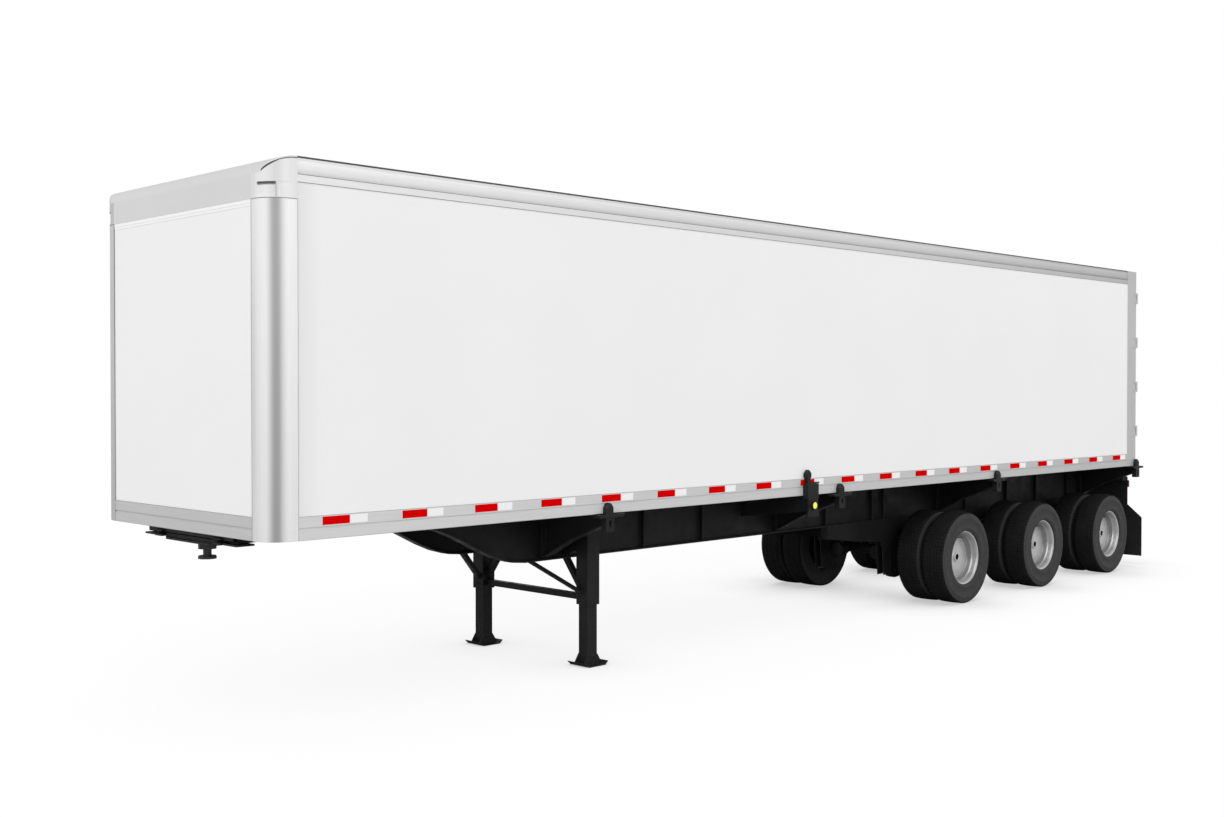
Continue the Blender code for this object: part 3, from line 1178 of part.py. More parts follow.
def wheel_profile():
    """Closed outline of the twin rims, discs, hub and drum, from the outside in.

    Distances run outwards from the plane where the two discs meet.
    """
    flange = RIM_FLANGE_RADIUS / FLAT_DOWN
    bead = BEAD_RADIUS / FLAT_DOWN
    wall = bead - RIM_WALL
    side = TWIN_SPACING / 2 + RIM_WIDTH / 2
    edge = RIM_FLANGE_THICKNESS / 2
    hub_bore = (SPINDLE_RADIUS + SPINDLE_PLAY) / FLAT_DOWN
    bore_end = HUB_FRONT - SPINDLE_BEHIND_HUB + SWING_GAP / 2
    rim = [(side + edge, flange - RIM_LIP), (side + edge, flange), (side - edge, flange),
           (side - edge, bead), (side - RIM_WIDTH, bead)]
    outline = [(HUB_FRONT, 0.0), (HUB_FRONT, HUB_RADIUS), (WELL_START, WELL_RADIUS),
               (WELL_END, WELL_RADIUS), (SEAT_START, wall)]
    outline += rim
    outline.append((0.0, WELL_RADIUS + RIM_WALL))
    outline += [(-along, radius) for along, radius in rim[::-1]]
    outline += [(-DRUM_FRONT, DRUM_RADIUS), (-DRUM_BACK, DRUM_RADIUS), (-DRUM_BACK, hub_bore),
                (bore_end, hub_bore), (bore_end, 0.0)]
    return outline


def make_wheels(paints):
    for number, place in enumerate(AXLE_PLACES, 1):
        for side_name, side in SIDES:
            label = "%d_%s" % (number, side_name)
            x = x_at(place)
            for twin, step in (("outer", 1), ("inner", -1)):
                centre = side * (TWIN_MIDDLE + step * TWIN_SPACING / 2)
                turned("tyre_%s_%s" % (label, twin), tyre_profile(), (x, centre, AXLE_HEIGHT),
                       "y", WHEEL_SIDES, paints["tyre"])
            profile = [(side * along, radius) for along, radius in wheel_profile()]
            turned("wheel_" + label, profile, (x, side * TWIN_MIDDLE, AXLE_HEIGHT), "y",
                   WHEEL_SIDES, paints["rim"], closed=False)


def make_rear_end(paints):
    """Mud flaps and the guard bar behind the rear wheels."""
    outer = HALF_WIDTH - FLAP_OUTER_INSET
    top_outer = HALF_WIDTH - FLAP_TOP_INSET
    inner = RAIL_OFFSET + RAIL_FLANGE_WIDTH / 2 + FLAP_INNER_GAP
    outline = [(inner, FLAP_BOTTOM), (outer, FLAP_BOTTOM), (outer, FLAP_SHOULDER),
               (top_outer, FLAP_SHOULDER + FLAP_SHOULDER_HEIGHT), (top_outer, FLAP_TOP),
               (inner, FLAP_TOP)]
    guard_top = RAIL_DEEP_BOTTOM - SEAT_GAP
    rear = OVERALL_LENGTH
    reach = HALF_WIDTH - GUARD_BAR_INSET
    guard = block("rear_guard", (x_at(rear - GUARD_BAR_DEPTH), x_at(rear)), (-reach, reach),
                  (GUARD_BAR_BOTTOM, GUARD_BAR_BOTTOM + GUARD_BAR_HEIGHT), paints["black"])
    half = GUARD_POST_WIDTH / 2
    post_end = RAIL_END - GUARD_POST_AHEAD
    bar_top = GUARD_BAR_BOTTOM + GUARD_BAR_HEIGHT - 0.010
    post = [(post_end - GUARD_POST_LENGTH, guard_top), (post_end, guard_top),
            (rear - 0.010, bar_top), (rear - GUARD_BAR_DEPTH + 0.010, bar_top)]
    posts = []
    for side_name, side in SIDES:
        y = side * RAIL_OFFSET
        posts.append(prism("guard_post", [(x_at(place), z) for place, z in post], "y",
                           y - half, y + half, paints["black"]))
        rail_web = side * (RAIL_OFFSET + RAIL_WEB_THICKNESS / 2 + SEAT_GAP)
        flap_x = x_at(RAIL_END + FLAP_BEHIND_RAILS)
        flap = prism("mudflap_" + side_name, mirrored(side, outline), "x", flap_x,
                     flap_x + FLAP_THICKNESS, paints["flap"])
        arm = block("flap_arm", (x_at(RAIL_END - FLAP_ARM_REACH), flap_x + FLAP_THICKNESS / 2),
                    sorted((rail_web, side * (top_outer - FLAP_THICKNESS))),
                    (FLAP_TOP - FLAP_ARM_DEPTH, FLAP_TOP + 0.004), paints["flap"])
        join(flap, arm)
    join(guard, *posts)


def parent_all():
    """Hang every piece on one empty, so that the whole trailer moves as one."""
    pieces = list(bpy.context.scene.objects)
    root = bpy.data.objects.new("semi_trailer", None)
    bpy.context.scene.collection.objects.link(root)
    for piece in pieces:
        piece.parent = root


def main():
    clear_scene()
    paints = make_materials()
    make_walls(paints)
    make_floor(paints)
    make_roof(paints)
    make_side_rails(paints)
    make_front_corners(paints)
    make_nose(paints)
    make_front_sill(paints)
    make_rear_frame(paints)
    for side_name, side in SIDES:
        make_door(side_name, side, paints)
    make_main_rails(paints)
    make_coupler(paints)
    make_bolsters(paints)
    make_marker_posts(paints)
    make_landing_gear(paints)
    make_subframes(paints)
    make_axles(paints)
    make_wheels(paints)
    make_rear_end(paints)
    parent_all()


main()
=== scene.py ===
"""Looks of a dry box trailer on its container chassis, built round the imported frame.

Metres, +Z up. The nose points to -X, the rear doors to +X and the road side to -Y.
"""
import math

import bmesh
import bpy
from mathutils import Matrix, Vector


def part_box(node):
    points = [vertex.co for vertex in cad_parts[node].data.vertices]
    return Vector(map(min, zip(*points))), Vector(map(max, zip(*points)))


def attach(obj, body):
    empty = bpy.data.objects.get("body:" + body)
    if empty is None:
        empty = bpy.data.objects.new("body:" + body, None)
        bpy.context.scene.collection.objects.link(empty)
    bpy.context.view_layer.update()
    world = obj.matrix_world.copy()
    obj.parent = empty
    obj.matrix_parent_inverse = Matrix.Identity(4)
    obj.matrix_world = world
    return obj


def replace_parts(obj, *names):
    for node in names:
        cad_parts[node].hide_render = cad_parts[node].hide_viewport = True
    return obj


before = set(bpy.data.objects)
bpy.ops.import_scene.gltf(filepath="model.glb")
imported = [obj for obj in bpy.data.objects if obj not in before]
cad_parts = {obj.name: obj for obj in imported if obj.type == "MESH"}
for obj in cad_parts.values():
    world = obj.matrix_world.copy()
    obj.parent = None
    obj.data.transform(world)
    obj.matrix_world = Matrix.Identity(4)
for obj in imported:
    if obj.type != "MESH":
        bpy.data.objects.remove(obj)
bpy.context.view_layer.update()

# Camera, solved from the corners of the box in the photograph
IMAGE_WIDTH = 1224
FOCAL_LENGTH_PX = 1369.0
SENSOR_WIDTH = 36.0
CAMERA_PLACE = (-12.0688, -9.6455, 2.4992)
CAMERA_HEADING = math.radians(45.0674)      # from +Y towards +X
CAMERA_TILT = math.radians(-0.811)

SIDES = (("left", -1), ("right", 1))
TRAILER = "trailer"

# Places read from the frame
NOSE_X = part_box("front_sill")[0].x
RAIL_LOW, RAIL_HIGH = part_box("bottom_rail_right")
SIDE_Y = RAIL_HIGH.y
TYRE_LOW, TYRE_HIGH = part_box("tyre_1_right_outer")
TYRE_RADIUS = (TYRE_HIGH.z - TYRE_LOW.z) / 2
AXLE_HEIGHT = TYRE_LOW.z + TYRE_RADIUS
TYRE_HALF_WIDTH = (TYRE_HIGH.y - TYRE_LOW.y) / 2
TWIN_MIDDLE = (TYRE_HIGH.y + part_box("tyre_1_right_inner")[0].y) / 2
RIM_LOW, RIM_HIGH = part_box("wheel_1_right")
RIM_RADIUS = (RIM_HIGH.z - RIM_LOW.z) / 2
RIM_EDGE = RIM_HIGH.y - TWIN_MIDDLE        # lip's face, out from the middle of the twins
POST_LOW, POST_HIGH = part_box("corner_post_right")
TOP_RAIL_LOW, TOP_RAIL_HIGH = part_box("top_rail_right")
PANEL_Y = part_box("side_wall_right")[1].y
FRONT_WALL_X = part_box("front_wall")[0].x
REAR_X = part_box("rear_frame")[0].x
LEAF_LOW, LEAF_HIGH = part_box("door_right")
FLAP_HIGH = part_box("mudflap_right")[1]
CHASSIS_RAIL_LOW, CHASSIS_RAIL_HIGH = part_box("main_rail_right")
CHASSIS_RAIL_Y = (CHASSIS_RAIL_LOW.y + CHASSIS_RAIL_HIGH.y) / 2
TYRE_BOXES = [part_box("tyre_%d_right_outer" % number) for number in (1, 2, 3)]
AXLE_PLACES = [(low.x + high.x) / 2 for low, high in TYRE_BOXES]

# Tyres
TREAD_PITCHES = 76
TREAD_STATIONS = (0.0, 0.04, 0.24, 0.28, 0.60)   # shares of a pitch; a slot spans the second and third
SLOT_STATIONS = (1, 2)
TREAD_DEPTH = 0.010
SHOULDER_CUT = 0.009
BLOCK_CUT = 0.003
ZIGZAG = 0.0025

# Wheels, out from the plane between the twins
RIM_SIDES = 96
WELL_RADIUS = 0.268
WELL_END = 0.1415
SEAT_START = 0.2295
SEAT_RADIUS = 0.282
HUB_RADIUS = 0.053
HUB_HOLE = 0.035
HUB_FRONT = 0.185
DISC_FOOT = (0.162, 0.066)       # distance out, radius
DISC_RIM = (0.149, 0.244)
WELL_STEP = 0.210
VALVE_PLACE = (0.085, 0.0, 0.222)
DRUM_RADIUS = 0.205
DRUM_FRONT = 0.050
DRUM_BACK = 0.236

# Reflective tape on the bottom rails
TAPE_FIRST = 0.427               # behind the nose
TAPE_PERIOD = 0.700
TAPE_REPEATS = 19
TAPE_RED = 0.233
TAPE_WHITE = 0.155
TAPE_TOP_BELOW_RAIL = 0.007
TAPE_HEIGHT = 0.060
TAPE_STANDS = 0.0008
TAPE_SINKS = 0.0004

# Marker lamps on the side posts
LAMP_X = -0.893
LAMP_HEIGHT = 1.328
LAMP_RADIUS = 0.034
BEZEL_RADIUS = 0.0430
LENS_RISE = 0.007

# Lamp boxes behind the rails, one on each side
REAR_LAMP_HEIGHT = 0.100
REAR_LAMP_LENGTH = 0.360
REAR_LAMP_DEPTH = 0.045
REAR_LAMP_BOTTOM = 1.100
FLAP_LAMP_Y = 1.073              # lamp's outer end
REAR_LENSES = 3

# Joints between the box's parts
SEAM_WIDTH = 0.005
SEAM_STANDS = 0.0008
SEAM_SINKS = 0.006
STRIP_SINKS = 0.010              # of the strips bent round a corner
TOP_BAND = 0.053                 # flat band of the top rail, above its lower edge
# Roof edge strips, partly a capping and partly painted shadow
ROOF_EDGE_HEIGHT = 0.011
ROOF_EDGE_WIDTH = 0.022
ROOF_EDGE_INSET = 0.009
ROOF_RIVET_PITCH = 0.150
RIVET_PITCH = 0.1016
CORNER_RADIUS = 0.200
CORNER_STEPS = 24
CORNER_THICKNESS = 0.045
# Painted shade and reflection on the corner posts and caps: grey by how far a face points along X,
# darkest where the corner turns
CORNER_PAINTED_SHADE = ((0.0, 0.87), (0.21, 0.86), (0.31, 0.78), (0.36, 0.70), (0.41, 0.62),
                (0.454, 0.51), (0.50, 0.404), (0.545, 0.352), (0.60, 0.33), (0.65, 0.35),
                (0.69, 0.41), (0.72, 0.49), (0.766, 0.62), (0.81, 0.735), (0.85, 0.80),
                (0.94, 0.80), (0.978, 0.77), (0.99, 0.75), (0.998, 0.70), (1.0, 0.68))
FAR_CORNER_PAINTED_SHADE = ((0.0, 0.90), (0.40, 0.86), (0.50, 0.80), (0.60, 0.50), (0.67, 0.353),
                    (0.72, 0.32), (0.766, 0.34), (0.81, 0.416), (0.88, 0.52), (0.95, 0.54),
                    (1.0, 0.53))
CAP_PAINTED_SHADE = ((0.0, 0.84), (0.31, 0.82), (0.45, 0.74), (0.60, 0.66), (0.72, 0.72), (0.85, 0.80),
             (0.99, 0.80), (1.0, 0.76))

# Corner caps: turns in degrees, heights above the joint with the post
CAP_TOP_START = 4.010            # the lid's curve starts here
CAP_CURVE_LENGTH = 0.230
LID_THICKNESS = 0.012
CAP_POCKET = (0.014, 0.091)
CAP_SLOT = (0.091, 0.113)
FRONT_POCKET_TURN = (168, 127)
SIDE_POCKET_TURN = (120, 96)
POCKET_DEPTH = 0.006
SLOT_DEPTH = 0.020
SIDE_POCKET_DEPTH = 0.0006
SIDE_SLOT_DEPTH = 0.0012
POCKET_STEP = 0.0004             # half the height of a step between face and pocket
SLOT_SHADOW = (0.101, 0.108)
# Painted shadow under the nose lid's edge: how far it reaches below the lid
LID_EDGE_DROP = 0.004
LID_EDGE_SWELL = 0.009           # added halfway round the corner
LID_SWELL_START = 118

# Door gear, from the leaf's outer face
LEAF_THICKNESS = 0.042
LEAF_EDGE_INSET = 0.026          # leaf's outer edge, inside the box's side
SEAL_WIDTH = 0.022
SEAL_STANDS = 0.003
STRAP_FACE = 0.011
STRAP_BOLTS = (0.045, 0.085, 0.125)      # from the leaf's outer edge
HINGES = 4
ROD_PLACES = (0.203, 0.743)
ROD_STANDOFF = 0.024
HANDLE_HEIGHT = 1.10
HANDLE_LENGTH = 0.420

# Landing legs
LEG_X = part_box("landing_leg_right")[1].x - 0.137
LEG_Y = 0.735
LEG_TUBE_HALF = 0.074
LEG_PIN_HEIGHT = 0.085
LEG_PIN_REACH = 0.073
LEG_COVER_BOLTS = (0.600, 0.645)

# Running gear
SPRING_HALF_WIDTH = 0.038
AXLE_RADIUS = 0.064
BOLT_PLACES = (-0.055, 0.055)    # U-bolts, from the axle
CHAMBER_FORWARD = 0.250
CHAMBER_OFFSET = 0.280
CHAMBER_RADIUS = 0.085
CHAMBER_BANDS = ((0.0, 0.006, 0.014), (0.050, 0.002, 0.006), (-0.050, 0.002, 0.006))
CAM_FORWARD = 0.112
FLAP_THICKNESS = 0.012
STAY_WIDTH = 0.125
CASTING_PLACE = -0.250           # from the first axle
CASTING_WIDTH = 0.080
CASTING_OUTLINE = ((-0.080, 0.950), (0.075, 0.950), (0.075, 0.370), (0.118, 0.318),
                   (0.124, 0.285), (0.112, 0.255), (0.020, 0.248), (-0.050, 0.268), (-0.080, 0.330))
TANK_RADIUS = 0.115
TANK_LENGTH = 0.700
TANK_X = 0.150
TANK_DROP = 0.190                # tank's axis below the rails' tops

# Stage
FLOOR_HALF = 150.0
CONTACT_REACH = 0.95             # contact shadows under things lower than this
# Grey of the painted contact shadow
CONTACT_SHADOW_TONE = 0.58
PAINTS = {}                      # materials by name, filled by make_materials


# Node trees

def rgb(colour):
    """Three channels; one number stands for a grey."""
    return colour if isinstance(colour, tuple) else (colour,) * 3


def dimmed(colour, share):
    return tuple(channel * share for channel in rgb(colour))


def feed(tree, node, inputs):
    """Set each named input to a plain value, or link it to a socket."""
    for name, value in inputs.items():
        if isinstance(value, bpy.types.NodeSocket):
            tree.links.new(value, node.inputs[name])
        else:
            node.inputs[name].default_value = value


def new_node(tree, kind, inputs=None, **settings):
    node = tree.nodes.new("ShaderNode" + kind)
    for name, value in settings.items():
        setattr(node, name, value)
    feed(tree, node, inputs or {})
    return node


def new_material(name, **inputs):
    """A new material, whose shader has these plain inputs, and its node tree."""
    material = bpy.data.materials.new(name)
    material.use_nodes = True
    tree = material.node_tree
    plain = {key.replace("_", " "): value for key, value in inputs.items()}
    feed(tree, tree.nodes["Principled BSDF"], plain)
    return material, tree


def stretched(tree, scale=(1.0, 1.0, 1.0)):
    """Object coordinates in metres, scaled along each axis."""
    source = new_node(tree, "TexCoord").outputs["Object"]
    return new_node(tree, "Mapping", {"Vector": source, "Scale": scale}).outputs["Vector"]


def noise(tree, scale, detail=4.0, stretch=(1.0, 1.0, 1.0), distortion=0.0):
    inputs = {"Vector": stretched(tree, stretch), "Scale": scale, "Detail": detail,
              "Distortion": distortion}
    return new_node(tree, "TexNoise", inputs).outputs["Fac"]


def ramp_stops(tree, factor, stops):
    """Colours or greys at several places of a factor, joined by straight lines."""
    node = new_node(tree, "ValToRGB", {"Fac": factor})
    elements = node.color_ramp.elements
    while len(elements) < len(stops):
        elements.new(1.0)
    for element, (place, colour) in zip(elements, stops):
        element.position = place
        element.color = (*rgb(colour), 1.0)
    return node.outputs["Color"]


def ramp(tree, factor, low, high, start=0.35, end=0.65):
    """Two colours or two values, mixed by a factor between start and end."""
    return ramp_stops(tree, factor, ((start, low), (end, high)))


def clouds(tree, scale, detail, low, high):
    return ramp(tree, noise(tree, scale, detail), low, high)


def facing_axis(tree, axis):
    """How far a surface faces along an axis, whichever way."""
    facing = new_node(tree, "NewGeometry").outputs["Normal"]
    size = new_node(tree, "VectorMath", {0: facing}, operation="ABSOLUTE").outputs["Vector"]
    return new_node(tree, "SeparateXYZ", {"Vector": size}).outputs[axis]


def blend(tree, factor, first, second):
    """Two colours or greys, each plain or from a socket, mixed by a factor."""
    node = new_node(tree, "Mix", data_type="RGBA")
    tree.links.new(factor, node.inputs["Factor"])
    inputs = {item.name: item for item in node.inputs if item.type == "RGBA"}
    for name, colour in (("A", first), ("B", second)):
        if isinstance(colour, (tuple, float)):
            inputs[name].default_value = (*rgb(colour), 1.0)
        else:
            tree.links.new(colour, inputs[name])
    return [item for item in node.outputs if item.type == "RGBA"][0]


def finished(material, tone, shine, height, distance, strength, normal=None):
    """The material with its colour, its roughness where that varies, and its bumps."""
    tree = material.node_tree
    bumps = {"Strength": strength, "Distance": distance, "Height": height}
    if normal:
        bumps["Normal"] = normal
    inputs = {"Base Color": tone, "Normal": new_node(tree, "Bump", bumps).outputs["Normal"]}
    if shine:
        inputs["Roughness"] = shine
    feed(tree, tree.nodes["Principled BSDF"], inputs)
    return material


def painted_shade_along_x(tree, colour, start, end, tint):
    """Painted shade: darken a colour by a tint at one place along X, and leave it alone at the other.
    """
    along = new_node(tree, "SeparateXYZ", {"Vector": stretched(tree)}).outputs["X"]
    share = new_node(tree, "MapRange", {"From Min": start, "From Max": end, "Value": along})
    return blend(tree, ramp(tree, share.outputs["Result"], 1 - tint, 0.0, 0.0, 1.0), colour, 0.0)


# Materials

def painted(name, grey, roughness, variation, grain, grain_depth, shade_along_x=None):
    """Paint or gel coat: slow changes of tone and sheen, a fine orange peel, and painted shade along X
    when asked.
    """
    material, tree = new_material(name)
    tone = clouds(tree, 0.9, 3.0, dimmed(grey, 1 - variation), grey)
    if shade_along_x:
        tone = painted_shade_along_x(tree, tone, *shade_along_x)
    shine = clouds(tree, 3.5, 5.0, roughness * 0.85, roughness * 1.2)
    return finished(material, tone, shine, noise(tree, grain, 2.0), grain_depth, 0.3)


def drawn_metal(name, colour, roughness, metallic, stretch, streak=0.06, shade_along_x=None):
    """Extruded or rolled metal, with streaks along its length, and painted shade along X when asked.
    """
    material, tree = new_material(name, Metallic=metallic)
    streaks = noise(tree, 60.0, 4.0, stretch)
    tone = ramp(tree, streaks, dimmed(colour, 1 - streak), colour)
    if shade_along_x:
        tone = painted_shade_along_x(tree, tone, *shade_along_x)
    shine = clouds(tree, 2.2, 5.0, roughness * 0.85, roughness * 1.2)
    return finished(material, tone, shine, streaks, 0.0002, 0.25)


def make_corner_metal(name, shade_tones):
    """Drawn metal with painted shade and reflection: a darker upright band where the corner turns, set
    by which way each face points.
    """
    material, tree = new_material(name, Specular_IOR_Level=0.25)
    streaks = noise(tree, 60.0, 4.0, (1.0, 1.0, 0.04))
    painted_turn_shade = ramp_stops(tree, facing_axis(tree, "X"), shade_tones)
    tone = blend(tree, ramp(tree, streaks, 0.05, 0.0), painted_turn_shade, 0.3)
    return finished(material, tone, clouds(tree, 2.2, 5.0, 0.32, 0.44), streaks, 0.0002, 0.25)


def make_nose_grey():
    """Satin grey skin, with painted shade that darkens the upward-facing top of its curve against the
    extra light it gets.
    """
    material, tree = new_material("grey_nose")
    painted_top_shade = ramp(tree, facing_axis(tree, "Z"), 0.0, 1.0, 0.0, 1.0)
    tone = blend(tree, painted_top_shade, clouds(tree, 0.9, 3.0, 0.68, 0.70), 0.48)
    shine = clouds(tree, 3.5, 5.0, 0.38, 0.52)
    return finished(material, tone, shine, noise(tree, 120.0, 2.0), 0.0002, 0.3)


def rubbed_and_lit_edges(tree, radius):
    """Share of wear and painted highlight near a solid's edges, and the normal that rounds them."""
    rounded = new_node(tree, "Bevel", {"Radius": radius}, samples=4).outputs["Normal"]
    facing = new_node(tree, "NewGeometry").outputs["Normal"]
    turn = new_node(tree, "VectorMath", {0: rounded, 1: facing}, operation="DOT_PRODUCT")
    return ramp(tree, turn.outputs["Value"], 1.0, 0.0, 0.80, 0.995), rounded


def make_black_frame():
    """Semi-gloss chassis paint, with road dust, a sprayed grain, and paler edges that are partly
    rubbed paint and partly painted highlight.
    """
    material, tree = new_material("black_frame", Specular_IOR_Level=0.16)
    paint = clouds(tree, 2.0, 5.0, 0.012, 0.017)
    dust = ramp(tree, noise(tree, 7.0, 8.0, distortion=0.4), 0.0, 0.12, 0.5, 0.8)
    dusty = blend(tree, dust, paint, (0.040, 0.039, 0.037))
    # Paler edges: partly rubbed paint, partly painted highlight
    worn_and_lit_share, rounded = rubbed_and_lit_edges(tree, 0.004)
    shine = clouds(tree, 9.0, 6.0, 0.36, 0.58)
    return finished(material, blend(tree, worn_and_lit_share, dusty, 0.050), shine,
                    noise(tree, 240.0, 3.0), 0.0003, 0.35, rounded)


def make_rubber(name, dark, pale, roughness, grain, sheen):
    material, tree = new_material(name, Specular_IOR_Level=sheen)
    tone = ramp(tree, noise(tree, 5.0, 8.0, distortion=0.3), dark, pale)
    shine = clouds(tree, 14.0, 5.0, roughness * 0.85, roughness * 1.15)
    return finished(material, tone, shine, noise(tree, grain, 4.0), 0.0005, 0.4)


def make_rim_silver(name, share):
    """Painted silver, a little duller in patches, with brake dust in them; a share below 1 makes a
    darker copy that paints shade.
    """
    material, tree = new_material(name, Metallic=0.55)
    silver = clouds(tree, 4.0, 5.0, 0.58 * share, 0.72 * share)
    grime = ramp(tree, noise(tree, 22.0, 8.0, distortion=0.5), 0.0, 0.22, 0.45, 0.80)
    tone = blend(tree, grime, silver, dimmed((0.30, 0.29, 0.28), share))
    shine = clouds(tree, 16.0, 5.0, 0.28, 0.42)
    return finished(material, tone, shine, noise(tree, 350.0, 2.0), 0.0002, 0.25)


def make_floor_wood():
    """Laminated boards that run lengthwise."""
    material, tree = new_material("floor_wood", Roughness=0.55)
    boards = new_node(tree, "TexWave", {"Vector": stretched(tree, (0.05, 1.0, 1.0)), "Scale": 3.2,
                                        "Distortion": 0.4}, bands_direction="Y")
    grain = noise(tree, 45.0, 6.0, (0.08, 1.0, 1.0), 0.6)
    wood = ramp(tree, grain, (0.17, 0.095, 0.045), (0.34, 0.21, 0.11))
    strips = ramp(tree, boards.outputs["Fac"], 0.0, 0.35, 0.1, 0.9)
    tone = blend(tree, strips, wood, (0.22, 0.13, 0.065))
    return finished(material, tone, None, grain, 0.0006, 0.4)


def make_tape(name, colour):
    """Reflective sheeting: small sealed cells under a clear film."""
    material, tree = new_material(name, Roughness=0.45, Specular_IOR_Level=0.0)
    cells = new_node(tree, "TexVoronoi", {"Vector": stretched(tree, (1.0, 0.0, 1.0)),
                                          "Scale": 260.0}, feature="DISTANCE_TO_EDGE")
    height = cells.outputs["Distance"]
    tone = ramp(tree, height, dimmed(colour, 0.80), colour, 0.02, 0.12)
    return finished(material, tone, None, height, 0.0002, 0.25)


def make_lens(name, colour, painted_glow):
    """Moulded lens with fine flutes, with a painted glow that stands in for light through it."""
    material, tree = new_material(name, Roughness=0.15, Coat_Weight=0.6,
                                  Emission_Color=(*colour, 1.0), Emission_Strength=painted_glow)
    flutes = new_node(tree, "TexWave", {"Vector": stretched(tree), "Scale": 60.0},
                      bands_direction="Z").outputs["Fac"]
    tone = ramp(tree, flutes, dimmed(colour, 0.82), colour, 0.2, 0.8)
    return finished(material, tone, None, flutes, 0.0004, 0.3)


def make_materials():
    along = (0.04, 1.0, 1.0)
    upright = (1.0, 1.0, 0.04)
    # Painted shade: the side walls darken beside the corner posts, and are a slightly darker copy of
    # the white panel
    post_painted_shade = (POST_HIGH.x, POST_HIGH.x + 0.20, 0.90)
    PAINTS.update({
        "panel": painted("white_panel", 0.93, 0.40, 0.012, 60.0, 0.0003),
        "side_panel": painted("white_side_panel", 0.91, 0.40, 0.012, 60.0, 0.0003, post_painted_shade),
        "door": painted("white_door", 0.84, 0.38, 0.02, 60.0, 0.0003),
        # Painted shade: the rails darken towards the rear, the top rail more
        "rail": drawn_metal("silver_rail", 0.72, 0.40, 0.20, along, 0.05, (REAR_X, NOSE_X, 0.74)),
        "top_rail": drawn_metal("silver_top_rail", 0.90, 0.36, 0.20, along, 0.04,
                                (REAR_X, NOSE_X, 0.52)),
        "sill": drawn_metal("silver_sill", 0.60, 0.42, 0.20, (1.0, 0.04, 1.0)),
        "post": drawn_metal("silver_rear_post", 0.54, 0.36, 0.30, upright),
        # Painted shade: posts and caps darken where the corner turns, and the far side takes a darker
        # copy
        "corner": make_corner_metal("corner_metal", CORNER_PAINTED_SHADE),
        "far_corner": make_corner_metal("far_corner_metal", FAR_CORNER_PAINTED_SHADE),
        "cap": make_corner_metal("cap_metal", CAP_PAINTED_SHADE),
        "nose": make_nose_grey(),
        "roof": painted("white_roof", 0.80, 0.42, 0.03, 60.0, 0.0003),
        "bright": painted("white_trim", 0.98, 0.35, 0.01, 120.0, 0.0002),
        # Grey for sealant at the joints, and for painted shadow lines along the rails
        "seam": painted("grey_sealant_and_painted_shadow", 0.22, 0.60, 0.10, 300.0, 0.0002),
        # Grey of the painted shadow at the caps' pockets
        "pocket": painted("pocket_painted_shadow", 0.42, 0.60, 0.15, 200.0, 0.0002),
        # Near black for painted shadow in the caps' slots and under the lid's edge, and for the roof's
        # edge strips
        "edge": painted("dark_edge_and_painted_shadow", 0.060, 0.50, 0.20, 300.0, 0.0002),
        "frame": make_black_frame(),
        "steel": drawn_metal("pin_steel", (0.030, 0.030, 0.031), 0.40, 0.30, (1.0, 1.0, 0.2)),
        "zinc": drawn_metal("zinc_steel", (0.62, 0.63, 0.64), 0.36, 0.75, upright),
        "wood": make_floor_wood(),
        "tread": make_rubber("tyre_tread", 0.009, 0.014, 0.85, 90.0, 0.10),
        "sidewall": make_rubber("tyre_sidewall", 0.038, 0.042, 0.62, 60.0, 0.18),
        "rim": make_rim_silver("rim_silver", 1.0),
        # Darker copies of the silver: painted shade for the well, the inner halves and the seat
        "rim_shaded_well": make_rim_silver("rim_silver_painted_shade_deep", 0.42),
        "rim_shaded_seat": make_rim_silver("rim_silver_painted_shade_seat", 0.66),
        "rim_lip": make_rim_silver("rim_lip_silver", 1.0),
        "flap": make_rubber("flap_rubber", 0.013, 0.019, 0.60, 45.0, 0.15),
        "red": make_tape("tape_red", (0.74, 0.0, 0.0)),
        "white": make_tape("tape_white", 0.98),
        # The lenses glow a little by themselves: painted light
        "amber": make_lens("lamp_amber", (0.86, 0.90, 0.05), 0.25),
        "lens": make_lens("lamp_red", (0.45, 0.006, 0.012), 0.05),
    })


# Mesh helpers

def make_mesh(name, bm, paints, smooth=None):
    """Turn a bmesh into a mesh; edges that bend by more than smooth degrees stay sharp."""
    bmesh.ops.recalc_face_normals(bm, faces=bm.faces)
    mesh = bpy.data.meshes.new(name)
    bm.to_mesh(mesh)
    bm.free()
    if smooth is not None:
        mesh.shade_smooth()
        mesh.set_sharp_from_angle(angle=math.radians(smooth))
    for paint in paints:
        mesh.materials.append(PAINTS[paint])
    return mesh


def new_object(name, data):
    item = bpy.data.objects.new(name, data)
    bpy.context.scene.collection.objects.link(item)
    return item


def place_piece(name, mesh, place, body):
    piece = new_object(name, mesh)
    piece.location = place
    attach(piece, body)
    return piece


def add_piece(name, bm, paint, smooth=None, body=TRAILER):
    """Turn a bmesh in world coordinates into a piece that rides on a body."""
    return place_piece(name, make_mesh(name, bm, [paint], smooth), (0.0, 0.0, 0.0), body)


def skin_loops(bm, loops):
    """Walls between loops of equal counts, closed at both ends."""
    for near, far in zip(loops, loops[1:]):
        for number in range(len(near)):
            following = (number + 1) % len(near)
            bm.faces.new((near[number], near[following], far[following], far[number]))
    bm.faces.new(loops[0])
    bm.faces.new(loops[-1])


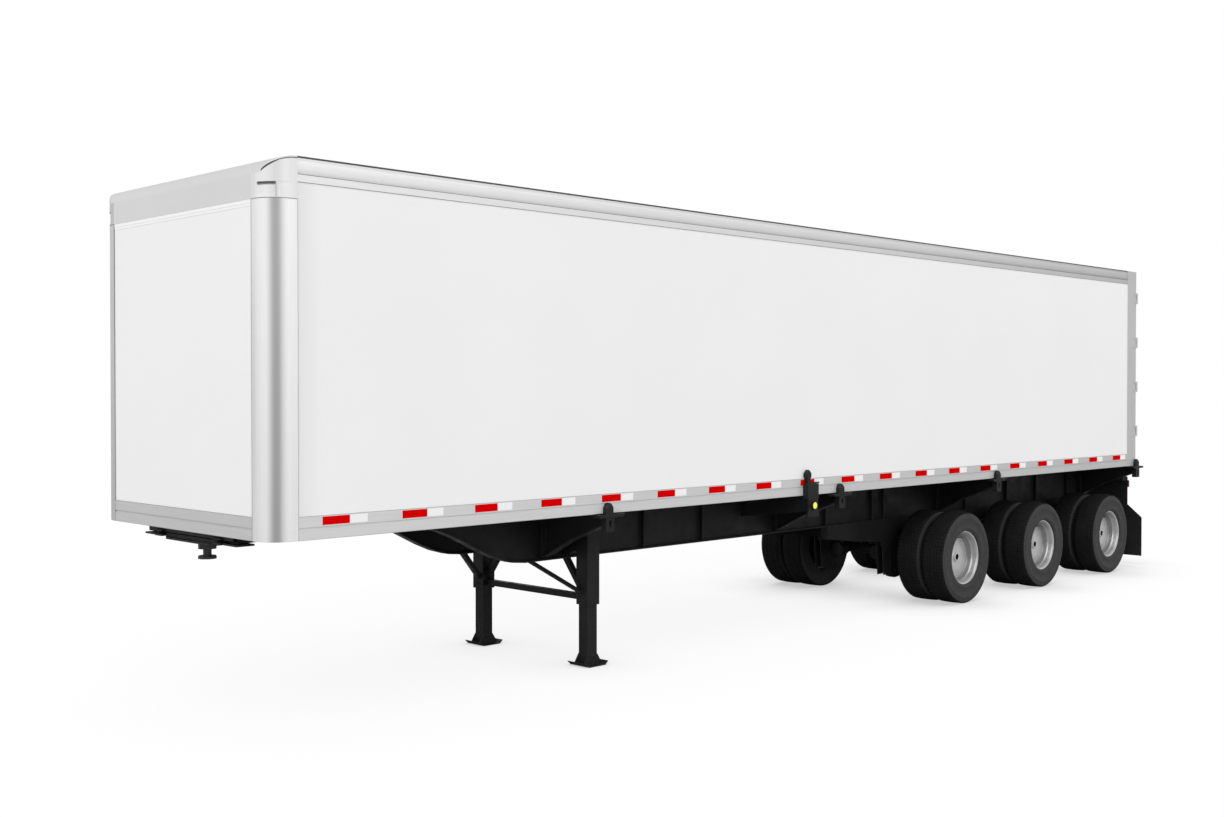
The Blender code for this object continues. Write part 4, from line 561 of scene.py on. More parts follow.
def revolve(bm, profile, sides, centre, closed=True, material=None):
    """Rings of (y from the centre, radius) points round a crosswise axle."""
    rings = []
    for along, radius in profile:
        if radius == 0.0:
            rings.append([bm.verts.new((centre[0], centre[1] + along, centre[2]))])
            continue
        ring = []
        for number in range(sides):
            angle = math.tau * number / sides
            ring.append(bm.verts.new((centre[0] + radius * math.cos(angle), centre[1] + along,
                                      centre[2] + radius * math.sin(angle))))
        rings.append(ring)
    pairs = list(zip(rings, rings[1:]))
    if closed:
        pairs.append((rings[-1], rings[0]))
    for place, (near, far) in enumerate(pairs):
        for number in range(sides):
            following = (number + 1) % sides
            corners = [near[number % len(near)], near[following % len(near)],
                       far[following % len(far)], far[number % len(far)]]
            corners = list(dict.fromkeys(corners))
            if len(corners) < 3:
                continue
            face = bm.faces.new(corners)
            if material:
                face.material_index = material(place)


def add_box(bm, low, high, bevel=0.0):
    """A box between two corners, with its edges eased."""
    size = [high[axis] - low[axis] for axis in range(3)]
    centre = [(high[axis] + low[axis]) / 2 for axis in range(3)]
    matrix = Matrix.Translation(centre) @ Matrix.Diagonal((*size, 1.0))
    made = bmesh.ops.create_cube(bm, size=1.0, matrix=matrix)
    if bevel:
        edges = {edge for vert in made["verts"] for edge in vert.link_edges}
        bmesh.ops.bevel(bm, geom=list(edges), offset=bevel, segments=1, affect="EDGES")


def add_side_box(bm, side, low, high, bevel=0.0):
    """A box given for the right-hand side, on the side that is asked for."""
    across = sorted((side * low[1], side * high[1]))
    add_box(bm, (low[0], across[0], low[2]), (high[0], across[1], high[2]), bevel)


def add_rod(bm, start, end, radius, sides, ease):
    """A round bar between two points, with its ends eased."""
    start = Vector(start)
    along = Vector(end) - start
    turn = along.to_track_quat("Z", "Y")
    ease = min(ease, radius * 0.5, along.length * 0.3)
    rings = []
    for height, size in ((0.0, radius - ease), (ease, radius), (along.length - ease, radius),
                         (along.length, radius - ease)):
        ring = []
        for number in range(sides):
            angle = math.tau * (number + 0.5) / sides
            point = Vector((size * math.cos(angle), size * math.sin(angle), height))
            ring.append(bm.verts.new(start + turn @ point))
        rings.append(ring)
    skin_loops(bm, rings)


def add_bolt(bm, place, direction, size):
    """A hexagon head on its washer; the direction points out of the plate."""
    place = Vector(place)
    out = Vector(direction)
    add_rod(bm, place - out * size * 0.2, place + out * size * 0.25, size * 1.15, 20, size * 0.08)
    add_rod(bm, place, place + out * size * 0.95, size * 0.80, 6, size * 0.12)


# Tyres

def tread_points():
    """Half of the tyre's section from its middle: distance out, radius, and how deep slots cut."""
    crown = 0.004
    half = 0.118
    floor = TREAD_DEPTH
    block = BLOCK_CUT
    edge = SHOULDER_CUT
    steps = [(0.000, 0.0, 0.0), (0.020, 0.0, block), (0.022, floor, 0.0), (0.026, floor, 0.0),
             (0.028, 0.0, block), (0.054, 0.0, block), (0.056, floor, 0.0), (0.060, floor, 0.0),
             (0.062, 0.0, block), (0.092, 0.0, block)]
    points = [(out, TYRE_RADIUS - crown * (out / half) ** 2 - deep, cut)
              for out, deep, cut in steps]
    points += [(0.095, TYRE_RADIUS - crown * 0.65, edge), (half, TYRE_RADIUS - crown, edge),
               (0.126, TYRE_RADIUS - 0.010, edge / 2), (0.1325, TYRE_RADIUS - 0.021, 0.0)]
    side = TYRE_HALF_WIDTH
    points += [(side - inset, radius, 0.0) for inset, radius in (
        (0.0040, TYRE_RADIUS - 0.033), (0.0018, TYRE_RADIUS - 0.048),
        (0.0012, TYRE_RADIUS - 0.066), (0.0000, TYRE_RADIUS - 0.068),
        (0.0000, TYRE_RADIUS - 0.075), (0.0012, TYRE_RADIUS - 0.077),
        (0.0008, RIM_RADIUS + 0.080), (0.0020, RIM_RADIUS + 0.040),
        (0.0012, RIM_RADIUS + 0.038), (0.0014, RIM_RADIUS + 0.032),
        (0.0028, RIM_RADIUS + 0.030), (0.0045, RIM_RADIUS + 0.014),
        (0.0085, RIM_RADIUS + 0.005), (0.0180, RIM_RADIUS + 0.001),
        (0.0395, RIM_RADIUS + 0.001), (0.0395, RIM_RADIUS - 0.017))]
    return points


def tyre_mesh():
    """One tyre round the Y axis, with ribs, zigzag grooves and shoulder slots."""
    half = tread_points()
    section = [(-out, radius, cut, place) for place, (out, radius, cut) in enumerate(half)][:0:-1]
    section += [(out, radius, cut, place) for place, (out, radius, cut) in enumerate(half)]
    last_tread = 13
    bm = bmesh.new()
    rings = []
    for pitch in range(TREAD_PITCHES):
        for number, share in enumerate(TREAD_STATIONS):
            angle = math.tau * (pitch + share) / TREAD_PITCHES
            sway = ZIGZAG * math.cos(math.tau * share)
            ring = []
            for out, radius, cut, place in section:
                if number in SLOT_STATIONS:
                    radius -= cut
                if 1 <= place <= 4:
                    out += sway
                elif 5 <= place <= 8:
                    out -= sway
                ring.append(bm.verts.new((radius * math.cos(angle), out,
                                          radius * math.sin(angle))))
            rings.append(ring)
    count = len(section)
    for number, ring in enumerate(rings):
        following = rings[(number + 1) % len(rings)]
        for place in range(count):
            after = (place + 1) % count
            face = bm.faces.new((ring[place], ring[after], following[after], following[place]))
            treaded = section[place][3] <= last_tread and section[after][3] <= last_tread
            face.material_index = 0 if treaded else 1
    return make_mesh("treaded_tyre", bm, ("tread", "sidewall"), 35)


def make_tyres():
    mesh = tyre_mesh()
    for number, x in enumerate(AXLE_PLACES, 1):
        for side_name, side in SIDES:
            for twin in ("outer", "inner"):
                node = "tyre_%d_%s_%s" % (number, side_name, twin)
                low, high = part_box(node)
                place = (x, (low.y + high.y) / 2, AXLE_HEIGHT)
                body = "twin_wheel_%d_%s" % (number, side_name)
                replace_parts(place_piece("treaded_" + node, mesh, place, body), node)


# Wheels

def rim_half(sign):
    """Barrel from the seat's slope over the lip to the drop centre, on one side of the discs."""
    edge = RIM_EDGE
    points = [(SEAT_START, SEAT_RADIUS), (edge - 0.020, SEAT_RADIUS + 0.001),
              (edge - 0.010, SEAT_RADIUS + 0.007), (edge - 0.003, RIM_RADIUS - 0.0125),
              (edge - 0.0006, RIM_RADIUS - 0.009), (edge, RIM_RADIUS - 0.005),
              (edge - 0.0006, RIM_RADIUS - 0.0018), (edge - 0.003, RIM_RADIUS),
              (edge - 0.007, RIM_RADIUS - 0.0005), (edge - 0.010, RIM_RADIUS - 0.004),
              (edge - 0.012, RIM_RADIUS - 0.015), (edge - 0.013, RIM_RADIUS - 0.019),
              (WELL_END + 0.010, RIM_RADIUS - 0.020), (WELL_END - 0.010, WELL_RADIUS + 0.008),
              (0.012, WELL_RADIUS + 0.008)]
    return [(sign * out, radius) for out, radius in points]


def wheel_profile():
    """Closed section of hub, discs, both rims and the drum, out from between the twins."""
    outline = [(HUB_FRONT - 0.028, 0.0), (HUB_FRONT - 0.028, HUB_HOLE - 0.002),
               (HUB_FRONT - 0.002, HUB_HOLE), (HUB_FRONT, HUB_HOLE + 0.002),
               (HUB_FRONT, HUB_RADIUS - 0.004), (HUB_FRONT - 0.002, HUB_RADIUS - 0.001),
               (HUB_FRONT - 0.006, HUB_RADIUS), (HUB_FRONT - 0.010, HUB_RADIUS + 0.003)]
    foot_out, foot_radius = DISC_FOOT
    rim_out, rim_radius = DISC_RIM
    outline += [(foot_out + 0.004, HUB_RADIUS + 0.004), (foot_out, foot_radius - 0.004)]
    for share in (0.0, 0.25, 0.5, 0.75, 1.0):
        bulge = 0.006 * math.sin(math.pi * share)
        outline.append((foot_out + (rim_out - foot_out) * share + bulge,
                        foot_radius + (rim_radius - foot_radius) * share))
    outline += [(rim_out + 0.001, rim_radius + 0.008), (rim_out + 0.006, WELL_RADIUS - 0.006),
                (rim_out + 0.014, WELL_RADIUS), (WELL_STEP - 0.006, WELL_RADIUS),
                (WELL_STEP, WELL_RADIUS + 0.002), (WELL_STEP + 0.006, SEAT_RADIUS - 0.006)]
    outline += rim_half(1)
    outline += rim_half(-1)[::-1]
    outline += [(-WELL_END, WELL_RADIUS), (-DRUM_FRONT, WELL_RADIUS - 0.004),
                (-DRUM_FRONT + 0.020, DRUM_RADIUS + 0.014), (-DRUM_FRONT, DRUM_RADIUS)]
    for rib in range(4):
        start = -DRUM_FRONT - 0.030 - 0.038 * rib
        outline += [(start, DRUM_RADIUS), (start - 0.003, DRUM_RADIUS + 0.006),
                    (start - 0.012, DRUM_RADIUS + 0.006), (start - 0.015, DRUM_RADIUS)]
    outline += [(-DRUM_BACK, DRUM_RADIUS), (-DRUM_BACK, 0.0)]
    return outline


def wheel_mesh(side):
    bm = bmesh.new()
    profile = [(side * out, radius) for out, radius in wheel_profile()]

    def choose(place):
        out = side * profile[place][0]
        radius = profile[place][1]
        if place <= 1 or (radius < DRUM_RADIUS + 0.010 and out < 0):
            return 1
        # Painted shade: the inner halves and the well take the darkest copy of the silver, and the
        # seat a darker one
        if out < 0 or (DISC_RIM[0] < out < WELL_STEP and radius > DISC_RIM[1] + 0.001):
            return 2
        if out > RIM_EDGE - 0.009 and radius > RIM_RADIUS - 0.013:
            return 3
        return 4 if out > WELL_STEP - 0.001 and radius > WELL_RADIUS else 0

    revolve(bm, profile, RIM_SIDES, (0.0, 0.0, 0.0), closed=False, material=choose)
    return make_mesh("twin_rims", bm, ("rim", "frame", "rim_shaded_well", "rim_lip", "rim_shaded_seat"), 40)


def valve_mesh(side):
    """Rubber valve stem with its cap, standing on the disc."""
    bm = bmesh.new()
    base = DISC_RIM[0] + 0.001
    reach = 0.040
    profile = [(base, 0.0), (base, 0.0075), (base + 0.010, 0.0060), (base + reach - 0.016, 0.0042),
               (base + reach - 0.014, 0.0052), (base + reach - 0.002, 0.0052),
               (base + reach, 0.0040), (base + reach, 0.0)]
    revolve(bm, [(side * out, radius) for out, radius in profile], 16, VALVE_PLACE, closed=False)
    return make_mesh("valve_stem", bm, ["tread"], 40)


def make_wheels():
    for side_name, side in SIDES:
        rims = wheel_mesh(side)
        valve = valve_mesh(side)
        for number, x in enumerate(AXLE_PLACES, 1):
            label = "%d_%s" % (number, side_name)
            body = "twin_wheel_" + label
            place = (x, side * TWIN_MIDDLE, AXLE_HEIGHT)
            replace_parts(place_piece("fine_wheel_" + label, rims, place, body),
                        "wheel_" + label)
            place_piece("valve_" + label, valve, place, body)


# Tape and lamps

def make_side_tape():
    """Red and white reflective strips along both bottom rails."""
    top = RAIL_HIGH.z - TAPE_TOP_BELOW_RAIL
    for side_name, side in SIDES:
        for colour, offset, length in (("red", 0.0, TAPE_RED), ("white", TAPE_RED, TAPE_WHITE)):
            bm = bmesh.new()
            for repeat in range(TAPE_REPEATS):
                start = NOSE_X + TAPE_FIRST + TAPE_PERIOD * repeat + offset
                add_side_box(bm, side, (start + 0.001, SIDE_Y - TAPE_SINKS, top - TAPE_HEIGHT),
                             (start + length - 0.001, SIDE_Y + TAPE_STANDS, top), 0.0003)
            add_piece("side_tape_%s_%s" % (colour, side_name), bm, colour)


def make_marker_lamps():
    for side_name, side in SIDES:
        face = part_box("marker_post_" + side_name)[1 if side > 0 else 0].y
        centre = (LAMP_X, face, LAMP_HEIGHT)
        bm = bmesh.new()
        lens = [(side * -0.004, 0.0), (side * -0.004, LAMP_RADIUS)]
        for step in range(1, 7):
            angle = math.pi / 2 * step / 6
            lens.append((side * LENS_RISE * math.sin(angle), LAMP_RADIUS * math.cos(angle)))
        lens[-1] = (side * LENS_RISE, 0.0)
        revolve(bm, lens, 40, centre, closed=False)
        add_piece("marker_lens_" + side_name, bm, "amber", 50)
        bm = bmesh.new()
        ring = [(-0.012, LAMP_RADIUS + 0.0003), (0.0015, LAMP_RADIUS + 0.0003),
                (0.0030, LAMP_RADIUS + 0.002), (0.0030, BEZEL_RADIUS - 0.002),
                (0.0010, BEZEL_RADIUS), (-0.012, BEZEL_RADIUS)]
        revolve(bm, [(side * out, radius) for out, radius in ring], 40, centre)
        add_piece("marker_bezel_" + side_name, bm, "flap", 40)


def make_rear_lamps():
    """A lamp box with a red lens behind each rail, beside the mud flap."""
    outer = FLAP_LAMP_Y
    span = -REAR_LAMP_LENGTH
    front = FLAP_HIGH.x + 0.0005
    back = front + REAR_LAMP_DEPTH
    face = front + REAR_LAMP_DEPTH * 0.45
    low = REAR_LAMP_BOTTOM
    high = low + REAR_LAMP_HEIGHT
    for side_name, side in SIDES:
        bm = bmesh.new()
        add_side_box(bm, side, (front, outer + span, low), (face, outer, high), 0.003)
        for share in (0.15, 0.85):
            add_bolt(bm, (face, side * (outer + span * share), high - 0.007), (1.0, 0.0, 0.0), 0.005)
        add_piece("rear_lamp_box_" + side_name, bm, "flap")
        bm = bmesh.new()
        for number in range(REAR_LENSES):
            first = outer + span * (0.01 + number * 0.98 / REAR_LENSES)
            last = outer + span * (0.01 + (number + 0.94) * 0.98 / REAR_LENSES)
            add_side_box(bm, side, (front + REAR_LAMP_DEPTH * 0.40, last, low + 0.006),
                         (back, first, high - 0.006), 0.004)
        add_piece("rear_lens_" + side_name, bm, "lens")


# Joints and trims of the box

def make_upright_seams():
    """Sealant where the corner posts meet the front wall and the side walls."""
    low = RAIL_LOW.z + 0.001
    high = POST_HIGH.z
    half = SEAM_WIDTH / 2
    bm = bmesh.new()
    for side in (-1, 1):
        add_side_box(bm, side, (NOSE_X - SEAM_STANDS, POST_LOW.y - half, low),
                     (NOSE_X + SEAM_SINKS, POST_LOW.y + half, high), 0.0003)
        add_side_box(bm, side, (POST_HIGH.x - half / 2, SIDE_Y - SEAM_SINKS, low),
                     (POST_HIGH.x + half / 2, SIDE_Y + SEAM_STANDS * 0.5, high), 0.0003)
    add_piece("upright_seams", bm, "seam")


def corner_plan(shift, side):
    """Plan of a corner from the front wall round to the side, moved out by a shift."""
    radius = CORNER_RADIUS + shift
    points = [(NOSE_X - shift, side * POST_LOW.y)]
    for number in range(CORNER_STEPS + 1):
        angle = math.radians(180 - 90 * number / CORNER_STEPS)
        points.append((NOSE_X + CORNER_RADIUS + radius * math.cos(angle),
                       side * (SIDE_Y - CORNER_RADIUS + radius * math.sin(angle))))
    points.append((POST_HIGH.x, side * (SIDE_Y + shift)))
    return points


def corner_stations():
    """Stations round the right-hand corner: distance behind the nose, y, and the face's turn."""
    centre_y = SIDE_Y - CORNER_RADIUS
    stations = [(0.0, POST_LOW.y, 180.0), (0.0, (POST_LOW.y + centre_y) / 2, 180.0)]
    turns = {180.0 - 90.0 * number / 36 for number in range(37)}
    for edge in FRONT_POCKET_TURN + SIDE_POCKET_TURN:
        turns |= {edge - 0.25, edge + 0.25}
    for turn in sorted(turns, reverse=True):
        angle = math.radians(turn)
        stations.append((CORNER_RADIUS + CORNER_RADIUS * math.cos(angle),
                         centre_y + CORNER_RADIUS * math.sin(angle), turn))
    stations.append((POST_HIGH.x - NOSE_X, SIDE_Y, 90.0))
    return stations


def corner_point(bm, side, station, deep, height):
    """A point behind a corner's face, by a depth square to the face."""
    place, out, turn = station
    angle = math.radians(turn)
    return bm.verts.new((NOSE_X + place - math.cos(angle) * deep,
                         side * (out - math.sin(angle) * deep), height))


def corner_shell(side, rows, sink):
    """Bent wall between rows of heights; sink gives each point's depth behind the face."""
    bm = bmesh.new()
    outer = []
    inner = []
    for station in corner_stations():
        heights = rows(station[0])
        outer.append([corner_point(bm, side, station, sink(station[2], height), height)
                      for height in heights])
        inner.append([corner_point(bm, side, station, CORNER_THICKNESS, height)
                      for height in heights])
    last = len(outer[0]) - 1
    for near, far, near_back, far_back in zip(outer, outer[1:], inner, inner[1:]):
        for row in range(last):
            bm.faces.new((near[row], near[row + 1], far[row + 1], far[row]))
            bm.faces.new((near_back[row], near_back[row + 1], far_back[row + 1], far_back[row]))
        for row in (0, last):
            bm.faces.new((near[row], far[row], far_back[row], near_back[row]))
    for column, back in ((outer[0], inner[0]), (outer[-1], inner[-1])):
        for row in range(last):
            bm.faces.new((column[row], column[row + 1], back[row + 1], back[row]))
    return bm


def corner_strip(bm, side, stations, stands, edges):
    """Strip bent round a corner; edges gives its lower and upper height at a station."""
    loops = []
    for station in stations:
        low, high = edges(station)
        loops.append([corner_point(bm, side, station, deep, height) for deep, height in (
            (-stands, low), (-stands, high), (STRIP_SINKS, high), (STRIP_SINKS, low))])
    skin_loops(bm, loops)


def lid_underside(place):
    """Height of the nose lid's underside at a place behind the nose."""
    top = TOP_RAIL_HIGH.z - LID_THICKNESS - 0.0003
    share = (CAP_CURVE_LENGTH - place) / (CAP_CURVE_LENGTH - LID_THICKNESS)
    rise = math.sqrt(max(0.0, 1.0 - min(1.0, max(0.0, share)) ** 2))
    return CAP_TOP_START + (top - CAP_TOP_START) * rise


def cap_sink(turn, height):
    """Depth of the pocket and the slot in a cap's face."""
    above = height - POST_HIGH.z
    shapes = ((FRONT_POCKET_TURN, POCKET_DEPTH, SLOT_DEPTH),
              (SIDE_POCKET_TURN, SIDE_POCKET_DEPTH, SIDE_SLOT_DEPTH))
    for (start, end), pocket, slot in shapes:
        if end < turn < start and CAP_SLOT[0] < above < CAP_SLOT[1]:
            return slot
        if end < turn < start and CAP_POCKET[0] < above <= CAP_SLOT[0]:
            return pocket
    return 0.0


def make_corner_posts():
    """Smoothly rounded posts with eased ends."""
    rows = [POST_LOW.z, POST_LOW.z + 0.004, POST_HIGH.z - 0.004, POST_HIGH.z]
    ease = {rows[0]: 0.0015, rows[-1]: 0.0015}
    for side_name, side in SIDES:
        bm = corner_shell(side, lambda place: rows, lambda turn, height: ease.get(height, 0.0))
        # Painted shade: the far post takes the darker shaded copy
        piece = add_piece("rounded_post_" + side_name, bm, "corner" if side < 0 else "far_corner",
                          40)
        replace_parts(piece, "corner_post_" + side_name)


def make_corner_caps():
    """Cast caps whose tops follow the lid, with a pocket and a lifting slot on each face."""
    base = POST_HIGH.z
    fixed = [base + 0.0003, base + 0.004]
    for edge in (CAP_POCKET[0], CAP_SLOT[0], CAP_SLOT[1]):
        fixed += [base + edge - POCKET_STEP, base + edge + POCKET_STEP]

    def rows(place):
        top = lid_underside(place)
        low = fixed[-1]
        return fixed + [low + (top - low) * number / 4 for number in range(1, 5)]

    for side_name, side in SIDES:
        bm = corner_shell(side, rows, cap_sink)
        # Painted shade: the far cap takes the darker shaded copy
        piece = add_piece("cast_cap_" + side_name, bm, "cap" if side < 0 else "far_corner",
                          35)
        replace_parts(piece, "corner_cap_" + side_name)


def make_cap_shadows():
    """Painted shade: dark strips deep in the lifting slots, and a grey strip of painted shadow at the
    pocket's upright end.
    """
    base = POST_HIGH.z
    start, end = FRONT_POCKET_TURN
    for name, paint, turns, heights in (
            ("cap_slot_painted_shade", "edge", (end, start), SLOT_SHADOW),
            ("cap_pocket_painted_shadow", "pocket", (end - 4, end), (0.006, CAP_SLOT[1]))):
        bm = bmesh.new()
        edges = [base + height for height in heights]
        stations = [station for station in corner_stations() if turns[0] <= station[2] <= turns[1]]
        for side in (-1, 1):
            corner_strip(bm, side, stations, 0.0006, lambda station: edges)
        add_piece(name, bm, paint, 30)


def make_lid_painted_shadow():
    """Painted shadow: a dark strip under the nose lid's edge, deepest halfway round the corner."""

    def edges(station):
        height = lid_underside(station[0])
        swell = max(0.0, math.sin(math.radians(station[2] - LID_SWELL_START) * 3))
        return height - (LID_EDGE_DROP + LID_EDGE_SWELL * swell), height + 0.0015

    bm = bmesh.new()
    stations = [station for station in corner_stations() if station[0] >= LID_THICKNESS + 0.002]
    for side in (-1, 1):
        corner_strip(bm, side, stations, 0.0010, edges)
    add_piece("lid_edge_painted_shadow", bm, "edge", 30)


def make_cap_seams():
    """Dark joint between each corner post and its cap, bent round the corner."""
    bm = bmesh.new()
    low = POST_HIGH.z - 0.0022
    high = POST_HIGH.z + 0.0022
    for side in (-1, 1):
        loops = []
        for outer, inner in zip(corner_plan(SEAM_STANDS, side), corner_plan(-SEAM_SINKS, side)):
            loops.append([bm.verts.new(point) for point in (
                (*outer, low), (*outer, high), (*inner, high), (*inner, low))])
        skin_loops(bm, loops)
    add_piece("cap_seams", bm, "seam", 30)


def make_long_seams():
    """Lines along the side: over and under the top rail's band, and on the bottom rail's top; partly
    sealant, partly painted shadow under the rails' steps.
    """
    bm = bmesh.new()
    lines = ((TOP_RAIL_LOW.z + TOP_BAND, SIDE_Y, 0.0045), (TOP_RAIL_LOW.z, PANEL_Y + 0.003, 0.0050),
             (RAIL_HIGH.z, PANEL_Y + 0.004, 0.0040))
    for side in (-1, 1):
        for height, face, width in lines:
            add_side_box(bm, side, (POST_HIGH.x, face - SEAM_SINKS, height - width / 2),
                         (REAR_X, face + SEAM_STANDS, height + width / 2), 0.0003)
    add_box(bm, (NOSE_X + 0.001, -POST_LOW.y, RAIL_HIGH.z - 0.002),
            (NOSE_X + 0.008, POST_LOW.y, RAIL_HIGH.z + 0.0025), 0.0003)
    add_piece("long_seams", bm, "seam")


def make_roof_edges():
    """Dark strips along both upper edges of the roof, with rivets: partly a capping and partly painted
    shadow for the gap under the roof's edge.
    """
    bm = bmesh.new()
    top = TOP_RAIL_HIGH.z
    start = POST_HIGH.x
    outer = SIDE_Y - ROOF_EDGE_INSET
    for side in (-1, 1):
        add_side_box(bm, side, (start, outer - ROOF_EDGE_WIDTH, top - ROOF_EDGE_HEIGHT),
                     (REAR_X, outer, top + 0.002), 0.0010)
        y = side * (outer - ROOF_EDGE_WIDTH / 2)
        for number in range(int((REAR_X - start) / ROOF_RIVET_PITCH)):
            x = start + ROOF_RIVET_PITCH * (number + 0.5)
            add_rod(bm, (x, y, top + 0.0015), (x, y, top + 0.0040), 0.005, 8, 0.001)
    add_piece("roof_edges", bm, "edge")


def make_nose_trim():
    """Pale strip under the nose panel, with a step below it."""
    bm = bmesh.new()
    top = POST_HIGH.z + 0.0005
    reach = POST_LOW.y - SEAM_WIDTH
    for high, low, face in ((0.0, 0.026, 0.0012), (0.026, 0.030, 0.0035), (0.030, 0.046, 0.0028)):
        add_box(bm, (NOSE_X + face, -reach, top - low), (FRONT_WALL_X + 0.004, reach, top - high),
                0.0004)
    add_piece("nose_trim", bm, "bright")


def make_rivets():
    """A row of flush rivets along each bottom rail."""
    bm = bmesh.new()
    start = POST_HIGH.x + 0.05
    end = REAR_X - 0.05
    height = RAIL_LOW.z + 0.030
    for side in (-1, 1):
        for number in range(int((end - start) / RIVET_PITCH)):
            x = start + RIVET_PITCH * number
            add_rod(bm, (x, side * (SIDE_Y - 0.001), height), (x, side * (SIDE_Y + 0.0010), height),
                    0.0042, 8, 0.0006)
    add_piece("rail_rivets", bm, "rail")


# Rear doors

def make_door_gear():
    """Seals, hinge bolts, rod bearings' bolts, handle hubs and catches on each leaf."""
    face = LEAF_LOW.x + LEAF_THICKNESS
    rod_x = face + ROD_STANDOFF
    low = LEAF_LOW.z
    high = LEAF_HIGH.z
    hub = low + HANDLE_HEIGHT
    edge = SIDE_Y - LEAF_EDGE_INSET
    inner = LEAF_LOW.y
    seals = (((inner, edge), (low, low + SEAL_WIDTH)), ((inner, edge), (high - SEAL_WIDTH, high)),
             ((inner, inner + SEAL_WIDTH), (low + SEAL_WIDTH, high - SEAL_WIDTH)),
             ((edge - SEAL_WIDTH, edge), (low + SEAL_WIDTH, high - SEAL_WIDTH)))
    collars = ((low + 0.0065, 0.005, 0.0150, 0.002), (high - 0.0065, 0.005, 0.0150, 0.002),
               (hub, 0.045, 0.0155, 0.003))
    for side_name, side in SIDES:
        body = side_name + "_door"
        seal = bmesh.new()
        for across, upright in seals:
            add_side_box(seal, side, (face - 0.0005, across[0], upright[0]),
                         (face + SEAL_STANDS, across[1], upright[1]), 0.0010)
        add_piece("door_seal_" + side_name, seal, "flap", body=body)
        gear = bmesh.new()
        spacing = (high - low) / HINGES
        for number in range(HINGES):
            height = low + spacing * (number + 0.5)
            for inset in STRAP_BOLTS:
                for rise in (-0.022, 0.022):
                    add_bolt(gear, (face + STRAP_FACE, side * (edge - inset), height + rise),
                             (1.0, 0.0, 0.0), 0.0065)
        for place in ROD_PLACES:
            for height, half, radius, ease in collars:
                add_rod(gear, (rod_x, side * place, height - half),
                        (rod_x, side * place, height + half), radius, 20, ease)
            tip = place + HANDLE_LENGTH
            add_side_box(gear, side, (face - 0.0005, tip - 0.050, hub - 0.040),
                         (face + 0.014, tip + 0.012, hub - 0.018), 0.002)
            catch = side * (tip - 0.020)
            add_rod(gear, (face + 0.002, catch, hub - 0.020), (face + 0.034, catch, hub - 0.020),
                    0.006, 12, 0.001)
        add_piece("door_gear_" + side_name, gear, "zinc", 40, body)


# Running gear and chassis

def make_axle_gear():
    """U-bolts, spring leaves, brake chamber bands and cam shafts on every axle."""
    bm = bmesh.new()
    low = AXLE_HEIGHT - AXLE_RADIUS
    high = AXLE_HEIGHT + AXLE_RADIUS
    reach = SPRING_HALF_WIDTH + 0.007
    for x in AXLE_PLACES:
        for side in (-1, 1):
            y = side * CHASSIS_RAIL_Y
            for place in BOLT_PLACES:
                for leg in (y - reach, y + reach):
                    add_rod(bm, (x + place, leg, low - 0.020), (x + place, leg, high + 0.092),
                            0.007, 10, 0.001)
                    add_bolt(bm, (x + place, leg, low - 0.012), (0.0, 0.0, -1.0), 0.011)
                add_rod(bm, (x + place, y - reach, high + 0.090),
                        (x + place, y + reach, high + 0.090), 0.007, 10, 0.001)
            add_box(bm, (x - 0.080, y - reach - 0.010, low - 0.012),
                    (x + 0.080, y + reach + 0.010, low + 0.004), 0.002)
            chamber_y = side * CHAMBER_OFFSET
            middle = x - CHAMBER_FORWARD
            for shift, size, width in CHAMBER_BANDS:
                add_rod(bm, (middle + shift - width / 2, chamber_y, AXLE_HEIGHT),
                        (middle + shift + width / 2, chamber_y, AXLE_HEIGHT),
                        CHAMBER_RADIUS + size, 32, 0.002)
            cam_x = x - CAM_FORWARD
            add_rod(bm, (cam_x, chamber_y, AXLE_HEIGHT),
                    (cam_x, side * (TWIN_MIDDLE - DRUM_BACK - 0.012), AXLE_HEIGHT), 0.018, 16, 0.002)
    add_piece("axle_gear", bm, "frame", 40)


def make_flap_stays():
    """Angle down each flap's inner edge, bolted to the flap, which closes the gap to the rail."""
    bm = bmesh.new()
    front = FLAP_HIGH.x - FLAP_THICKNESS
    low = CHASSIS_RAIL_LOW.z - 0.020
    high = FLAP_HIGH.z - 0.010
    near = CHASSIS_RAIL_Y - 0.010
    for side in (-1, 1):
        add_side_box(bm, side, (front - 0.006, near, low), (front + 0.001, near + STAY_WIDTH, high),
                     0.001)
        for share in (0.12, 0.5, 0.88):
            add_bolt(bm, (front - 0.006, side * (near + STAY_WIDTH - 0.014),
                          low + (high - low) * share), (-1.0, 0.0, 0.0), 0.008)
    add_piece("flap_stays", bm, "frame", 40)


def make_coupler_web():
    """Folded web across the coupler's front, between the outer beams."""
    bm = bmesh.new()
    low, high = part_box("coupler_beam")
    x = low.x + 0.024
    reach = high.y - 0.055
    bottom = low.z + 0.044
    add_box(bm, (x, -reach, bottom), (x + 0.010, reach, RAIL_LOW.z - 0.001), 0.002)
    add_box(bm, (x, -reach, bottom), (x + 0.060, reach, bottom + 0.010), 0.002)
    add_piece("coupler_web", bm, "frame", 40)


def make_spring_castings():
    """Cast brackets behind the front hangers, with the hook that carries the spring's end."""
    bm = bmesh.new()
    x = AXLE_PLACES[0] + CASTING_PLACE
    half = CASTING_WIDTH / 2
    for side in (-1, 1):
        y = side * CHASSIS_RAIL_Y
        skin_loops(bm, [[bm.verts.new((x + place, y + across, height))
                         for place, height in CASTING_OUTLINE] for across in (-half, half)])
        for step in (-1, 1):
            add_bolt(bm, (x + 0.020, y + step * half, 0.330), (0.0, step, 0.0), 0.014)
    add_piece("spring_castings", bm, "frame", 40)


